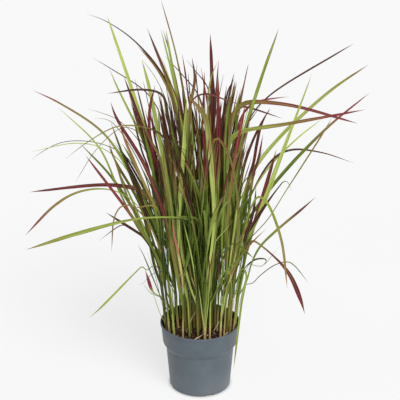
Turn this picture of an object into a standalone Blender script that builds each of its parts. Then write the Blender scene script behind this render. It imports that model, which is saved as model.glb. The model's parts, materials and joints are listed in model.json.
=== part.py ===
"""A clump of red-tipped ornamental grass growing in a round plastic nursery pot.

The model is in metres with +Z up. Its origin is the middle of the pot's foot, on the
ground, and its front is -Y. Sizes below are in millimetres, as on a drawing.
"""

import itertools
import math
import random

import bmesh
import bpy
from mathutils import Quaternion, Vector, geometry
from mathutils.bvhtree import BVHTree

MM = 0.001
UP = Vector((0, 0, 1))
FRONT = Vector((0, -1, 0))

# The pot: a thin moulded wall with a lip, a deep collar and a stacking shoulder.
POT_HEIGHT = 150.0
RIM_RADIUS = 85.0
LIP_DEPTH = 4.5
LIP_ROUND = 0.9
COLLAR_TOP_RADIUS = 83.6
COLLAR_FOOT_RADIUS = 79.6
COLLAR_FOOT = 105.0
SHOULDER_FOOT = 96.0
BODY_TOP_RADIUS = 73.0
BODY_FOOT_RADIUS = 65.2
FOOT_ROUND = 3.0
WALL = 1.6
FLOOR = 2.4
SIDES = 32
NOTCH_COUNT = 4
NOTCH_SIZE = (15.0, 15.0, 8.0)
FIRST_NOTCH = math.radians(-72)
HOLE_COUNT = 6
HOLE_RADIUS = 5.0
HOLE_CIRCLE = 38.0

# The potting soil: it fills the pot to a finger's width below the rim.
GAP = 0.3
SOIL_TOP = 136.5
SOIL_BUMP = 1.6
SOIL_RINGS = (0.45, 0.8, 1.0)
SOCKET_DEPTH = 12.0
SOCKET_TOP_SHARE = 0.16

# The shoots: a stem of wrapped sheaths, and leaf blades that part from it one by one.
STEM_FOOT = 4.8
STEM_NECK = 3.0
FIRST_FORK = 0.5
LAST_FORK = 0.84
FORK_SHARE = 0.06
STEM_LEAN = 0.6
FORK_STEPS = ((2.0, 0), (4.0, 9), (8.5, 30))
LEAF_RISE = 8
BLADE_THICK = 1.1
BLADE_BASE = 0.4
SWELL_SHARE = 0.3
POINT_POWER = 3.5
KEEL_SHARE = 0.3
RING_LENGTH = 200.0
RING_BEND = math.radians(38)
ROUTE_STEPS = 8
TWIST_SHARE = 0.4
MOST_TURN = math.radians(35)

# Neighbours keep this far apart. A blade in the way slides back or forth, along a line
# that keeps its place as seen from the front and a little above.
CLEARANCE = 0.5
ASIDE = Vector((0, 0.92, -0.39))
NECK_SHIFTS = (0, 3, 6, 9, 12, 16, 20, 25, 30)
SLIDES = (0, 4, -4, 8, -8, 12, -12, 17, -17, 23, -23, 30, -30, 38, -38, 47, -47)
BULGES = (0, 6, -6, 12, -12, 20, -20, 30, -30)

PLASTIC = ("pot_plastic", (0.115, 0.145, 0.165), 0.45)
SOIL = ("potting_soil", (0.030, 0.018, 0.012), 0.95)
STRAW = ("dry_straw", (0.480, 0.370, 0.210), 0.80)
TONES = {
    "lime": ("lime_leaf", (0.270, 0.380, 0.060), 0.45),
    "olive": ("olive_leaf", (0.170, 0.200, 0.050), 0.45),
    "wine": ("wine_leaf", (0.150, 0.022, 0.030), 0.45),
}

# Shoots seen one by one in the clump: tone, root (x, y), neck (x, y, z), and their leaves
# from the lowest up: width, depth (y) of the tip, and (x, z) points out to the tip.
# All are millimetres, taken by eye from the front.
SHOOTS = (
    ("wine", (-22, -44), (-30, -62, 300), (
        (8, -100, ((-55, 440), (-70, 540), (-86, 625), (-100, 720), (-110, 762))),
        (8, -130, ((-46, 445), (-55, 575), (-68, 690), (-88, 707), (-125, 710), (-175, 705))),
    )),
    ("lime", (-30, -22), (-40, -30, 330), (
        (7, -90, ((-68, 430), (-92, 530), (-113, 625), (-135, 695), (-145, 725))),
        (9, -60, ((-60, 415), (-82, 505), (-108, 600), (-140, 715), (-176, 836))),
    )),
    ("olive", (-4, 6), (-6, 8, 340), (
        (7, -30, ((-25, 455), (-34, 565), (-42, 645), (-50, 700), (-66, 802))),
        (7, 10, ((-12, 470), (-22, 580), (-33, 650), (-42, 715), (-76, 851))),
    )),
    ("wine", (-26, 16), (-36, 24, 330), (
        (6, 20, ((-70, 425), (-92, 510), (-110, 595), (-130, 685))),
        (8, 60, ((-32, 420), (-34, 505), (-40, 570), (-56, 640), (-95, 715), (-165, 782), (-225, 808))),
    )),
    ("olive", (-12, -8), (-18, -12, 340), (
        (6, -120, ((-58, 435), (-85, 535), (-99, 605), (-98, 650), (-85, 718))),
        (8, -40, ((-20, 440), (-27, 560), (-45, 645), (-65, 705), (-93, 783), (-101, 806))),
    )),
    ("wine", (8, -18), (10, -24, 330), (
        (5, 30, ((25, 450), (27, 560), (30, 660), (37, 722))),
        (10, -20, ((18, 465), (22, 570), (24, 680), (20, 755), (20, 790))),
    )),
    ("wine", (20, -60), (24, -78, 300), (
        (5, -140, ((55, 320), (88, 360), (105, 395), (130, 430))),
        (8, -60, ((30, 460), (33, 545), (35, 665), (36, 715))),
    )),
    ("olive", (10, -64), (14, -86, 290), (
        (6, -80, ((30, 400), (30, 510), (24, 595), (10, 690), (2, 740))),
        (10, -160, ((28, 420), (25, 500), (18, 600), (8, 672), (-20, 708))),
    )),
    ("lime", (-4, -50), (-12, -66, 300), (
        (8, -120, ((-38, 350), (-43, 420), (-36, 520), (-30, 610), (-25, 695))),
        (9, -190, ((-13, 390), (-18, 428), (-50, 441), (-95, 446), (-150, 446), (-240, 430), (-336, 408))),
    )),
    ("wine", (-36, -56), (-34, -78, 290), (
        (6, -120, ((-62, 400), (-92, 510), (-122, 580), (-155, 640), (-170, 685))),
        (9, -160, ((-14, 405), (-22, 480), (-42, 560), (-74, 622), (-115, 642), (-172, 640), (-256, 585))),
    )),
    ("lime", (50, -40), (62, -52, 300), (
        (7, -70, ((72, 425), (86, 525), (108, 600), (136, 652))),
        (9, -40, ((65, 410), (76, 540), (91, 612), (110, 680), (151, 806))),
    )),
    ("wine", (42, -50), (52, -70, 300), (
        (8, -170, ((76, 385), (70, 520), (54, 598), (36, 626), (20, 622))),
        (9, -110, ((55, 435), (66, 545), (79, 625), (86, 678))),
    )),
    ("lime", (56, -22), (72, -32, 300), (
        (8, -120, ((58, 420), (52, 540), (66, 602), (112, 618), (180, 636), (245, 653), (315, 670))),
        (10, -60, ((103, 370), (140, 475), (162, 550), (190, 635), (216, 722))),
    )),
    ("olive", (58, -4), (76, -6, 300), (
        (6, 90, ((82, 470), (94, 570), (120, 620), (168, 655), (220, 687), (311, 737))),
        (9, 30, ((86, 410), (112, 500), (160, 562), (220, 625), (295, 685), (336, 712))),
    )),
    ("wine", (30, 14), (38, 20, 330), (
        (5, 60, ((54, 480), (64, 575), (82, 614), (106, 612), (170, 587))),
        (5, 40, ((62, 510), (82, 595), (106, 627), (135, 637), (180, 641))),
        (9, -40, ((46, 495), (57, 590), (82, 642), (125, 650), (176, 646), (265, 626), (311, 613))),
    )),
    ("olive", (50, 36), (66, 50, 310), (
        (5, 160, ((112, 415), (152, 478), (186, 495), (216, 495), (290, 472), (332, 450))),
        (6, 150, ((102, 395), (145, 462), (185, 502), (260, 555))),
        (9, 110, ((105, 365), (150, 430), (195, 482), (255, 545), (320, 602), (352, 626))),
    )),
    ("wine", (64, 24), (84, 34, 300), (
        (7, 20, ((112, 360), (130, 430), (138, 470), (156, 535))),
        (9, 60, ((112, 335), (135, 358), (162, 402), (225, 510), (262, 572), (271, 592))),
    )),
    ("wine", (70, -16), (92, -24, 290), (
        (7, -20, ((112, 312), (135, 350), (185, 398), (236, 446))),
        (10, -90, ((96, 332), (110, 358), (145, 330), (185, 294), (205, 250), (216, 214))),
    )),
    ("olive", (74, 4), (94, 8, 270), (
        (5, 10, ((112, 236), (142, 268), (186, 285), (215, 255), (231, 234))),
        (5, 30, ((110, 262), (145, 284), (166, 310))),
        (5, -30, ((102, 285), (118, 302), (138, 304), (126, 292))),
    )),
    ("olive", (62, -36), (76, -58, 310), (
        (6, -110, ((82, 296), (91, 304), (95, 282), (86, 236), (78, 185), (70, 96))),
        (8, -120, ((98, 430), (114, 474), (133, 464), (157, 412), (170, 338), (176, 290))),
    )),
    ("olive", (36, -18), (46, -24, 320), (
        (4, -90, ((82, 345), (122, 430), (142, 468), (156, 492), (170, 508), (181, 490))),
        (7, -10, ((60, 440), (66, 525), (71, 605), (81, 676))),
    )),
    ("wine", (18, 44), (22, 60, 320), (
        (6, 100, ((40, 425), (50, 530), (60, 595), (76, 655))),
        (7, 60, ((34, 430), (41, 520), (45, 585), (58, 650), (70, 672))),
    )),
    ("lime", (-12, 48), (-16, 66, 330), (
        (5, 90, ((12, 480), (13, 570), (-8, 640), (-43, 680), (-72, 712))),
        (6, 120, ((-25, 465), (-38, 570), (-58, 665), (-80, 760))),
    )),
    ("wine", (-52, 54), (-60, 72, 300), (
        (5, 100, ((-84, 430), (-115, 520), (-150, 595), (-186, 681))),
        (7, 140, ((-62, 470), (-78, 560), (-96, 603), (-122, 632), (-160, 656), (-222, 692))),
    )),
    ("wine", (-42, 34), (-50, 48, 320), (
        (4, 170, ((-80, 420), (-106, 478), (-135, 520), (-180, 557), (-241, 570))),
        (5, 150, ((-72, 435), (-104, 508), (-136, 546), (-165, 548), (-210, 508), (-270, 410))),
    )),
    ("olive", (-46, -8), (-64, -10, 310), (
        (7, -70, ((-98, 385), (-120, 440), (-142, 520), (-174, 625))),
        (8, -40, ((-82, 360), (-105, 420), (-135, 490), (-165, 545), (-200, 597), (-270, 650), (-326, 681))),
    )),
    ("lime", (-60, 32), (-78, 42, 300), (
        (5, 110, ((-105, 420), (-142, 510), (-188, 566), (-220, 570))),
        (5, 150, ((-108, 400), (-150, 485), (-215, 515), (-290, 510), (-336, 484), (-363, 461))),
        (6, 60, ((-106, 378), (-152, 478), (-196, 522), (-255, 535), (-310, 522), (-350, 514))),
    )),
    ("lime", (-74, 14), (-92, 18, 300), (
        (6, 90, ((-122, 390), (-150, 435), (-192, 515))),
        (6, 60, ((-126, 372), (-185, 465), (-224, 508), (-250, 535))),
        (5, 20, ((-122, 345), (-160, 425), (-200, 528), (-225, 565), (-286, 625))),
    )),
    ("wine", (-64, -32), (-78, -50, 300), (
        (8, -60, ((-82, 395), (-98, 450), (-128, 479), (-190, 489), (-245, 486), (-341, 474))),
        (8, -150, ((-88, 370), (-118, 445), (-160, 490), (-212, 503), (-265, 490), (-315, 450), (-342, 420))),
    )),
    ("wine", (-54, -44), (-66, -62, 290), (
        (4, -130, ((-104, 375), (-150, 425), (-176, 415), (-200, 398))),
        (7, -120, ((-112, 390), (-160, 475), (-182, 512), (-221, 576))),
        (7, -150, ((-98, 415), (-130, 466), (-155, 470), (-170, 442), (-174, 386))),
    )),
    ("olive", (-72, -15), (-84, -25, 290), (
        (6, -40, ((-92, 225), (-104, 258), (-114, 291))),
        (8, -60, ((-108, 285), (-122, 294), (-150, 265), (-190, 225), (-231, 190))),
        (6, -30, ((-88, 330), (-125, 370), (-192, 416))),
    )),
)

# Shoots that fill the clump behind and between those, by a seeded rule: their number and
# spacing, and how far to the front or the back and how high their blades reach.
FILL_COUNT = 21
FILL_SEED = 23
FILL_CIRCLE = 66.0
FILL_FRONT = -50.0
FILL_SPACING = 9.5
FILL_SPOTS = 97
FILL_NECK = (260.0, 330.0)
FILL_LEAVES = 3
FILL_WIDTH = (5.0, 9.0)
FILL_REACHING = (120.0, 280.0)
FILL_UPRIGHT = (10.0, 120.0)
FILL_SIDE = 80.0
FILL_TIP = (600.0, 760.0)
FILL_DROOP = 0.75
FILL_ARCH = (0.12, 0.22)
FILL_CHOICES = 8
FILL_TWIST = math.radians(70)
GOLDEN = math.radians(137.5)

# Dry straws fallen among the stems: (x, y, z) points from the thick end to the tip.
STRAW_WIDTH = 2.2
STRAWS = (
    ((-29, -40, 142), (-24, -37, 160), (-8, -30, 190)),
    ((29, -32, 142), (34, -28, 150), (42, -22, 162)),
    ((52, -48, 142), (60, -32, 141), (66, -12, 144)),
    ((-12, -67, 141), (-2, -58, 142), (8, -42, 141)),
)

CORNERS = ((True, True), (False, True), (False, False), (True, False))
SKIN = ((0, 1, 4), (1, 5, 4), (1, 2, 6), (1, 6, 5), (2, 3, 6), (3, 7, 6), (3, 0, 7), (0, 4, 7))
LEVEL = Vector((1, 1, 0))

taken_points = []
taken_faces = []
sockets = []


def at(*place):
    return Vector(place) * MM


def material(name, colour, roughness):
    made = bpy.data.materials.get(name) or bpy.data.materials.new(name)
    made.use_nodes = True
    shader = made.node_tree.nodes["Principled BSDF"]
    shader.inputs["Base Color"].default_value = (*colour, 1)
    shader.inputs["Roughness"].default_value = roughness
    shader.inputs["Metallic"].default_value = 0
    return made


def add_object(name, bm, look):
    mesh = bpy.data.meshes.new(name)
    bm.to_mesh(mesh)
    bm.free()
    made = bpy.data.objects.new(name, mesh)
    bpy.context.scene.collection.objects.link(made)
    mesh.materials.append(material(*look))
    return made


def cut(target, name, bm):
    """Takes the shape in bm out of the target, and keeps it as a hidden cutter."""
    cutter = add_object(name, bm, PLASTIC)
    cutter.hide_render = True
    cutter.display_type = "WIRE"
    boolean = target.modifiers.new(name, "BOOLEAN")
    boolean.operation = "DIFFERENCE"
    boolean.object = cutter


# ---------------------------------------------------------------- pot and soil


def turned(profile):
    """A solid turned about Z from (radius, height) points that start and end on the axis."""
    bm = bmesh.new()
    verts = [bm.verts.new(at(radius, 0, height)) for radius, height in profile]
    edges = [bm.edges.new(pair) for pair in zip(verts, verts[1:])]
    bmesh.ops.spin(
        bm,
        geom=verts + edges,
        cent=(0, 0, 0),
        axis=UP,
        angle=math.tau,
        steps=SIDES,
        use_merge=True,
    )
    bmesh.ops.remove_doubles(bm, verts=bm.verts, dist=0.01 * MM)
    bmesh.ops.recalc_face_normals(bm, faces=bm.faces)
    return bm


def foot_arc(radius, round_by):
    """The quarter round between a floor and a wall, from the floor up."""
    for step in range(3):
        angle = step * math.pi / 4
        yield radius - round_by * (1 - math.sin(angle)), round_by * (1 - math.cos(angle))


def pot_profile():
    shelf = POT_HEIGHT - LIP_DEPTH
    outside = [
        *foot_arc(BODY_FOOT_RADIUS, FOOT_ROUND),
        (BODY_TOP_RADIUS, SHOULDER_FOOT),
        (COLLAR_FOOT_RADIUS, COLLAR_FOOT),
        (COLLAR_TOP_RADIUS, shelf - LIP_ROUND),
        (RIM_RADIUS, shelf),
        (RIM_RADIUS, POT_HEIGHT - LIP_ROUND),
        (RIM_RADIUS - LIP_ROUND, POT_HEIGHT),
    ]
    inside = [
        (COLLAR_TOP_RADIUS - WALL, POT_HEIGHT),
        (COLLAR_FOOT_RADIUS - WALL, COLLAR_FOOT + WALL / 2),
        (BODY_TOP_RADIUS - WALL, SHOULDER_FOOT + WALL / 2),
        (BODY_FOOT_RADIUS - WALL, FLOOR + FOOT_ROUND),
        (BODY_FOOT_RADIUS - WALL - FOOT_ROUND, FLOOR),
    ]
    return [(0, 0), *outside, *inside, (0, FLOOR)]


def foot_cutter():
    """The drain notches at the foot's edge and the ring of drain holes in the floor."""
    bm = bmesh.new()
    for index in range(NOTCH_COUNT):
        turn = Quaternion(UP, FIRST_NOTCH + index * math.tau / NOTCH_COUNT)
        for vert in bmesh.ops.create_cube(bm, size=MM)["verts"]:
            vert.co *= Vector(NOTCH_SIZE)
            vert.co.x += BODY_FOOT_RADIUS * MM
            vert.co.rotate(turn)
    for index in range(HOLE_COUNT):
        turn = Quaternion(UP, (index + 0.5) * math.tau / HOLE_COUNT)
        hole = bmesh.ops.create_cone(
            bm,
            cap_ends=True,
            segments=10,
            radius1=HOLE_RADIUS * MM,
            radius2=HOLE_RADIUS * MM,
            depth=3 * FLOOR * MM,
        )
        for vert in hole["verts"]:
            vert.co.x += HOLE_CIRCLE * MM
            vert.co.rotate(turn)
    return bm


def soil_mesh(rng):
    """A plug of soil with a lumpy, slightly crowned top, and a narrow gap to the pot."""
    inner = WALL + GAP
    slope = (COLLAR_TOP_RADIUS - COLLAR_FOOT_RADIUS) / (POT_HEIGHT - COLLAR_FOOT)
    brim = COLLAR_FOOT_RADIUS - inner + slope * (SOIL_TOP - 2 * SOIL_BUMP - COLLAR_FOOT)
    profile = [
        (0, FLOOR + GAP),
        (BODY_FOOT_RADIUS - inner - FOOT_ROUND, FLOOR + GAP),
        (BODY_FOOT_RADIUS - inner, FLOOR + FOOT_ROUND + GAP),
        (BODY_TOP_RADIUS - inner, SHOULDER_FOOT + WALL),
        (COLLAR_FOOT_RADIUS - inner, COLLAR_FOOT + WALL),
        *((brim * share, SOIL_TOP) for share in reversed(SOIL_RINGS)),
        (0, SOIL_TOP),
    ]
    bm = turned(profile)
    for vert in bm.verts:
        if vert.co.z > (SOIL_TOP - 1) * MM:
            crown = 1 - 2 * vert.co.xy.length / (brim * MM)
            vert.co.z += (rng.uniform(-1, 1) * SOIL_BUMP + crown) * MM
    return bm


def socket_cutter():
    """The holes that the stems stand in."""
    bm = bmesh.new()
    for low, high in sockets:
        for vert in bmesh.ops.create_cube(bm, size=1)["verts"]:
            vert.co = (high if vert.co.z > 0 else low)[(vert.co.x > 0, vert.co.y > 0)]
    bmesh.ops.recalc_face_normals(bm, faces=bm.faces)
    return bm


# ------------------------------------------------- rings of stems and of blades
# A ring has four corners, each marked by (is it on the back, is it on the left).


def smooth_route(knots):
    """Points along a smooth curve through the knots, a few to each stretch."""
    leans = [(after - before).normalized() for before, after in zip(knots, knots[2:])]
    leans.insert(0, (knots[1] - knots[0]).normalized())
    leans.append((knots[-1] - knots[-2]).normalized())
    route = [knots[0]]
    for here, there, out, back in zip(knots, knots[1:], leans, leans[1:]):
        third = (there - here).length / 3
        handles = here + out * third, there - back * third
        route += geometry.interpolate_bezier(here, *handles, there, ROUTE_STEPS)[1:]
    return route


def shares(route):
    """How far along the route each of its points lies, from 0 to 1."""
    lengths = [(after - before).length for before, after in zip(route, route[1:])]
    walked = list(itertools.accumulate(lengths, initial=0))
    return [length / walked[-1] for length in walked]


def slid(route, slide, bulge):
    """The route with its tip and its middle moved back or forth."""
    return [
        point + ASIDE * (slide * share + bulge * math.sin(math.pi * share)) * MM
        for point, share in zip(route, shares(route))
    ]


def frames(route, back, twist=0.0):
    """For each point of the route: its tangent, and where the blade's back looks there."""
    tangents = [(after - before).normalized() for before, after in zip(route, route[1:])]
    tangents.append(tangents[-1])
    normal = (back - back.project(tangents[0])).normalized()
    found = []
    for before, tangent, share in zip([tangents[0], *tangents], tangents, shares(route)):
        normal = before.rotation_difference(tangent) @ normal
        turn = Quaternion(tangent, twist * min(1, share / TWIST_SHARE))
        found.append((tangent, turn @ normal))
    return found


def twist_towards(route, back, facing):
    """The twist, of a quarter turn at most, that lays the blade's middle flat to a viewer."""
    tangent, normal = frames(route, back)[len(route) // 2]
    turn = math.atan2(facing.dot(tangent.cross(normal)), facing.dot(normal))
    return (turn + math.pi / 2) % math.pi - math.pi / 2


def blade_width(width, share):
    """A narrow base, a long parallel middle and a drawn-out point."""
    swell = min(1, share / SWELL_SHARE)
    base = BLADE_BASE + (1 - BLADE_BASE) * swell * swell * (3 - 2 * swell)
    return width * base * (1 - share**POINT_POWER)


def across(mark):
    """How far to the left of a blade's middle a corner lies, as a share of half its width."""
    back, on_left = mark
    return (KEEL_SHARE if back else 1) * (1 if on_left else -1)


def blade_ring(place, tangent, normal, half, thick):
    """A blade's cross-section: flat above, and narrower on its back."""
    left = tangent.cross(normal)
    return {
        (back, on_left): place
        + normal * (thick if back else -thick)
        + left * half * across((back, on_left))
        for back, on_left in CORNERS
    }


def blade_rings(route, back, twist, width, extra=0.0):
    """A blade's rings, closer together where it bends, and its tip as the last.

    The first is where the blade leaves its stem, and the second a little above that.
    """
    along = shares(route)
    turns = frames(route, back, twist)
    rings = []
    due = 0.0
    for index, (tangent, normal) in enumerate(turns[:-1]):
        before = max(0, index - 1)
        due += (route[index] - route[before]).length / (RING_LENGTH * MM)
        due += (tangent.angle(turns[before][0]) + normal.angle(turns[before][1])) / RING_BEND
        if due < 1 and index not in (0, ROUTE_STEPS):
            continue
        due = 0.0
        half = (blade_width(width, along[index]) / 2 + extra) * MM
        thick = (BLADE_THICK / 2 + extra) * MM
        rings.append(blade_ring(route[index], tangent, normal, half, thick))
    rings.append(dict.fromkeys(CORNERS, route[-1]))
    return rings


def stem_ring(place, out, size):
    """A stem's square cross-section, two of its sides square to out."""
    half = size / 2 * MM
    side = UP.cross(out)
    return {
        (back, on_left): place + out * (half if back else -half) + side * (half if on_left else -half)
        for back, on_left in CORNERS
    }


def stem_point(root, neck, share):
    """A point on the stem's axis, which rises steeply and then leans out."""
    return root.lerp(neck, share) + (neck - root) * LEVEL * STEM_LEAN * share * (share - 1)


def stem_shares(leaf_count):
    """The levels of a stem's rings: its foot, both edges of each fork, and its neck."""
    found = [0.0]
    for index in range(leaf_count - 1):
        low = FIRST_FORK + (LAST_FORK - FIRST_FORK) * index / max(1, leaf_count - 2)
        found += [low, low + FORK_SHARE]
    return [*found, 1.0]


def stem_rings(root, neck, out, leaf_count, extra=0.0):
    return [
        stem_ring(
            stem_point(root, neck, share),
            out,
            STEM_FOOT + (STEM_NECK - STEM_FOOT) * share + 2 * extra,
        )
        for share in stem_shares(leaf_count)
    ]


# ------------------------------------------------------- keeping neighbours apart


def shell(rings):
    """The points and faces of the skin between rings."""
    points = [ring[corner] for ring in rings for corner in CORNERS]
    faces = [
        [low + corner for corner in triangle]
        for low in range(0, 4 * len(rings) - 4, 4)
        for triangle in SKIN
    ]
    return points, faces


def touches(rings, tree):
    return bool(BVHTree.FromPolygons(*shell(rings)).overlap(tree))


def tree_of(shells):
    """One search tree over several shells."""
    points = []
    faces = []
    for more_points, more_faces in shells:
        faces += [[corner + len(points) for corner in face] for face in more_faces]
        points += more_points
    return BVHTree.FromPolygons(points, faces)


def take(bm):
    """Keeps what is placed later clear of this mesh."""
    bm.verts.index_update()
    first = len(taken_points)
    taken_faces.extend([first + vert.index for vert in face.verts] for face in bm.faces)
    taken_points.extend(vert.co.copy() for vert in bm.verts)


def clear_neck(root, neck, out, leaf_count, tree):
    """The neck, moved aside by the least that clears the stem."""
    for away, turn in itertools.product(NECK_SHIFTS, range(8)):
        shift = Quaternion(UP, turn * math.tau / 8) @ at(away, 0, 0)
        if not touches(stem_rings(root, neck + shift, out, leaf_count, CLEARANCE), tree):
            return neck + shift
    return neck


def clear_blade(start, choices, back, facing, twist, width, others, stem):
    """The rings of a blade slid aside by the least that clears it, or None.

    It's to clear the trees of others, and above its first ring its own stem's tree.
    """
    ways = sorted(itertools.product(SLIDES, BULGES), key=lambda way: abs(way[0]) + abs(way[1]))
    for knots, (slide, bulge) in itertools.product(choices, ways):
        route = slid(smooth_route([*start, *knots]), slide, bulge)
        turn = twist_towards(route, back, facing) if facing else twist
        swollen = blade_rings(route, back, turn, width, CLEARANCE)
        met = any(touches(swollen, tree) for tree in others)
        if not met and not touches(swollen[1:], stem):
            return blade_rings(route, back, turn, width)
    return None


# ------------------------------------------------------------------ the shoots


def extruded(bm, face, marks, ring):
    """The face drawn out to a ring, each corner to the place with its mark."""
    made = bmesh.ops.extrude_discrete_faces(bm, faces=[face])["faces"][0]
    for vert, mark in zip(made.verts, marks):
        vert.co = ring[mark]
    return made


def split_skin(face, marks):
    """Splits the skin below a blade's end from left to right, all around.

    The diagonals are parallel, so the front and the back can't cross where a blade twists.
    """
    place = {vert: across(mark) for vert, mark in zip(face.verts, marks)}
    below = {
        vert: next(end for edge in vert.link_edges if (end := edge.other_vert(vert)) not in place)
        for vert in place
    }
    for edge in face.edges:
        right, left = sorted(edge.verts, key=place.get)
        quad = next(side for side in edge.link_faces if side is not face)
        bmesh.utils.face_split(quad, right, below[left])


def draw_blade(bm, face, marks, rings):
    """A blade drawn out of a face and closed in a point."""
    for ring in rings:
        face = extruded(bm, face, marks, ring)
        split_skin(face, marks)
    bmesh.ops.pointmerge(bm, verts=face.verts[:], merge_co=rings[-1][CORNERS[0]])


def block(low, high):
    """A bar between two rings, with its top face and that face's marks."""
    bm = bmesh.new()
    for vert in bmesh.ops.create_cube(bm, size=1)["verts"]:
        vert.co = (high if vert.co.z > 0 else low)[(vert.co.x > 0, vert.co.y > 0)]
    top = min(bm.faces, key=lambda face: (face.calc_center_median() - middle_of(high)).length)
    marks = [min(CORNERS, key=lambda mark: (high[mark] - vert.co).length) for vert in top.verts]
    return bm, top, marks


def middle_of(*rings):
    corners = [place for ring in rings for place in ring.values()]
    return sum(corners, Vector()) / len(corners)


def nearest_way(out, heading):
    """The one of a stem's four face directions that is nearest to the heading."""
    side = UP.cross(out)
    return max((out, -out, side, -side), key=heading.dot)


def marks_towards(face, way, back_test):
    """The marks of a face's corners for a blade whose back looks along way."""
    middle = face.calc_center_median()
    across = UP.cross(way)
    return [(back_test(vert.co - middle), (vert.co - middle).dot(across) > 0) for vert in face.verts]


def plan_blades(root, neck, out, leaves, tree):
    """For each leaf, the stem direction that it leaves along and its rings, or None."""
    levels = stem_shares(len(leaves))
    stem = tree_of([shell(stem_rings(root, neck, out, len(leaves)))])
    shells = []
    rise = (neck - stem_point(root, neck, 0.9)).normalized()
    plans = []
    for index, (width, facing, twist, choices) in enumerate(leaves):
        last = index == len(leaves) - 1
        place = stem_point(root, neck, 1.0 if last else levels[2 * index + 1] + FORK_SHARE / 2)
        way = nearest_way(out, (choices[0][0] - place) * LEVEL)
        if last:
            start = [place, place + rise * LEAF_RISE * MM]
        else:
            start = [place + way * along * MM + rise * up * MM for along, up in FORK_STEPS]
        others = [tree, tree_of(shells)]
        rings = clear_blade(start, choices, way, facing, twist, width, others, stem)
        if rings:
            shells.append(shell(rings))
        plans.append((way, rings))
    return plans


def grow(name, tone, root, neck, leaves):
    """One shoot as one body: a stem, and blades drawn out of its faces.

    A leaf is (width, facing, twist, choices). Each choice is the knots of one way out, and
    a leaf that finds no clear way isn't grown.
    """
    tree = BVHTree.FromPolygons(taken_points, taken_faces)
    out = ((leaves[0][3][0][0] - root) * LEVEL).normalized()
    neck = clear_neck(root, neck, out, len(leaves), tree)
    plans = plan_blades(root, neck, out, leaves, tree)
    rings = stem_rings(root, neck, out, len(leaves))
    bm, top, marks = block(*rings[:2])
    for ring in rings[2:]:
        top = extruded(bm, top, marks, ring)
    for low, high, (way, blade) in zip(rings[1::2], rings[2::2], plans[:-1]):
        if blade:
            goal = middle_of(low, high) + way * STEM_FOOT / 2 * MM
            face = min(bm.faces, key=lambda side: (side.calc_center_median() - goal).length)
            marks = marks_towards(face, way, lambda offset: offset.z < 0)
            draw_blade(bm, face, marks, blade[1:])
    way, blade = plans[-1]
    if blade:
        marks = marks_towards(top, way, lambda offset: offset.dot(way) > 0)
        draw_blade(bm, top, marks, blade[1:])
    bmesh.ops.recalc_face_normals(bm, faces=bm.faces)
    take(bm)
    socket_size = STEM_FOOT + 2 * GAP
    low = stem_ring(root - UP * GAP * MM, out, socket_size)
    sockets.append((low, stem_ring(stem_point(root, neck, SOCKET_TOP_SHARE), out, socket_size)))
    return add_object(name, bm, TONES[tone])


def seen_shoot(name, row, rng):
    """A shoot from its row in SHOOTS, its blades turned roughly to the front."""
    tone, root, neck, blades = row
    leaves = []
    for width, depth, points in blades:
        along = shares([Vector((neck[0], neck[2])), *map(Vector, points)])[1:]
        knots = [
            at(x, neck[1] + (depth - neck[1]) * share, z) for (x, z), share in zip(points, along)
        ]
        facing = Quaternion(UP, rng.uniform(-MOST_TURN, MOST_TURN)) @ FRONT
        leaves.append((width, facing, 0.0, [knots]))
    return grow(name, tone, at(*root, SOIL_TOP - SOCKET_DEPTH), at(*neck), leaves)


def fill_roots():
    """Roots spread evenly over the soil, at a distance from the others."""
    seen = [Vector(row[1]) for row in SHOOTS]
    found = []
    for step in range(2 * FILL_SPOTS):
        radius = FILL_CIRCLE * math.sqrt((step % FILL_SPOTS + 0.5) / FILL_SPOTS)
        place = Vector((radius * math.cos(step * GOLDEN), radius * math.sin(step * GOLDEN)))
        nearest = min((place - other).length for other in seen + found)
        if nearest > FILL_SPACING and place.y > FILL_FRONT:
            found.append(place)
    return found[:FILL_COUNT]


def fill_knots(place, neck, reaches, rng):
    """The middle and the tip of a blade that arches to the front or the back."""
    back = 1 if place.y + rng.uniform(-45, 45) > 0 else -1
    reach = rng.uniform(*reaches)
    height = rng.uniform(*FILL_TIP) - FILL_DROOP * reach
    side = rng.uniform(-1, 1) * FILL_SIDE
    tip = at(place.x * 1.5 + side, place.y + reach * back, height)
    return [neck.lerp(tip, 0.5) + UP * rng.uniform(*FILL_ARCH) * reach * MM, tip]


def fill_shoot(name, place, rng):
    """A shoot that stands at the place, with one far-reaching and two upright blades."""
    neck = at(place.x * 1.2, place.y * 1.25, rng.uniform(*FILL_NECK))
    leaves = []
    for leaf in range(FILL_LEAVES):
        reaches = FILL_UPRIGHT if leaf else FILL_REACHING
        choices = [fill_knots(place, neck, reaches, rng) for _ in range(FILL_CHOICES)]
        twist = rng.uniform(-1, 1) * FILL_TWIST
        leaves.append((rng.uniform(*FILL_WIDTH), None, twist, choices))
    tone = rng.choice(sorted(TONES))
    return grow(name, tone, at(*place, SOIL_TOP - SOCKET_DEPTH), neck, leaves)


def fallen_straw(name, points):
    """A dry straw, slid aside until it lies clear of the stems."""
    tree = BVHTree.FromPolygons(taken_points, taken_faces)
    start, *knots = [at(*point) for point in points]
    end = (start - knots[0]).normalized() * STRAW_WIDTH * MM
    rings = clear_blade([start + end, start], [knots], UP, None, 0.0, STRAW_WIDTH, [tree], tree)
    bm, top, marks = block(*rings[:2])
    draw_blade(bm, top, marks, rings[2:])
    bmesh.ops.recalc_face_normals(bm, faces=bm.faces)
    take(bm)
    return add_object(name, bm, STRAW)


for old in list(bpy.data.objects):
    bpy.data.objects.remove(old)

dice = random.Random(FILL_SEED)

pot_mesh = turned(pot_profile())
take(pot_mesh)
pot = add_object("pot", pot_mesh, PLASTIC)
cut(pot, "drain_cutter", foot_cutter())

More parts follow.
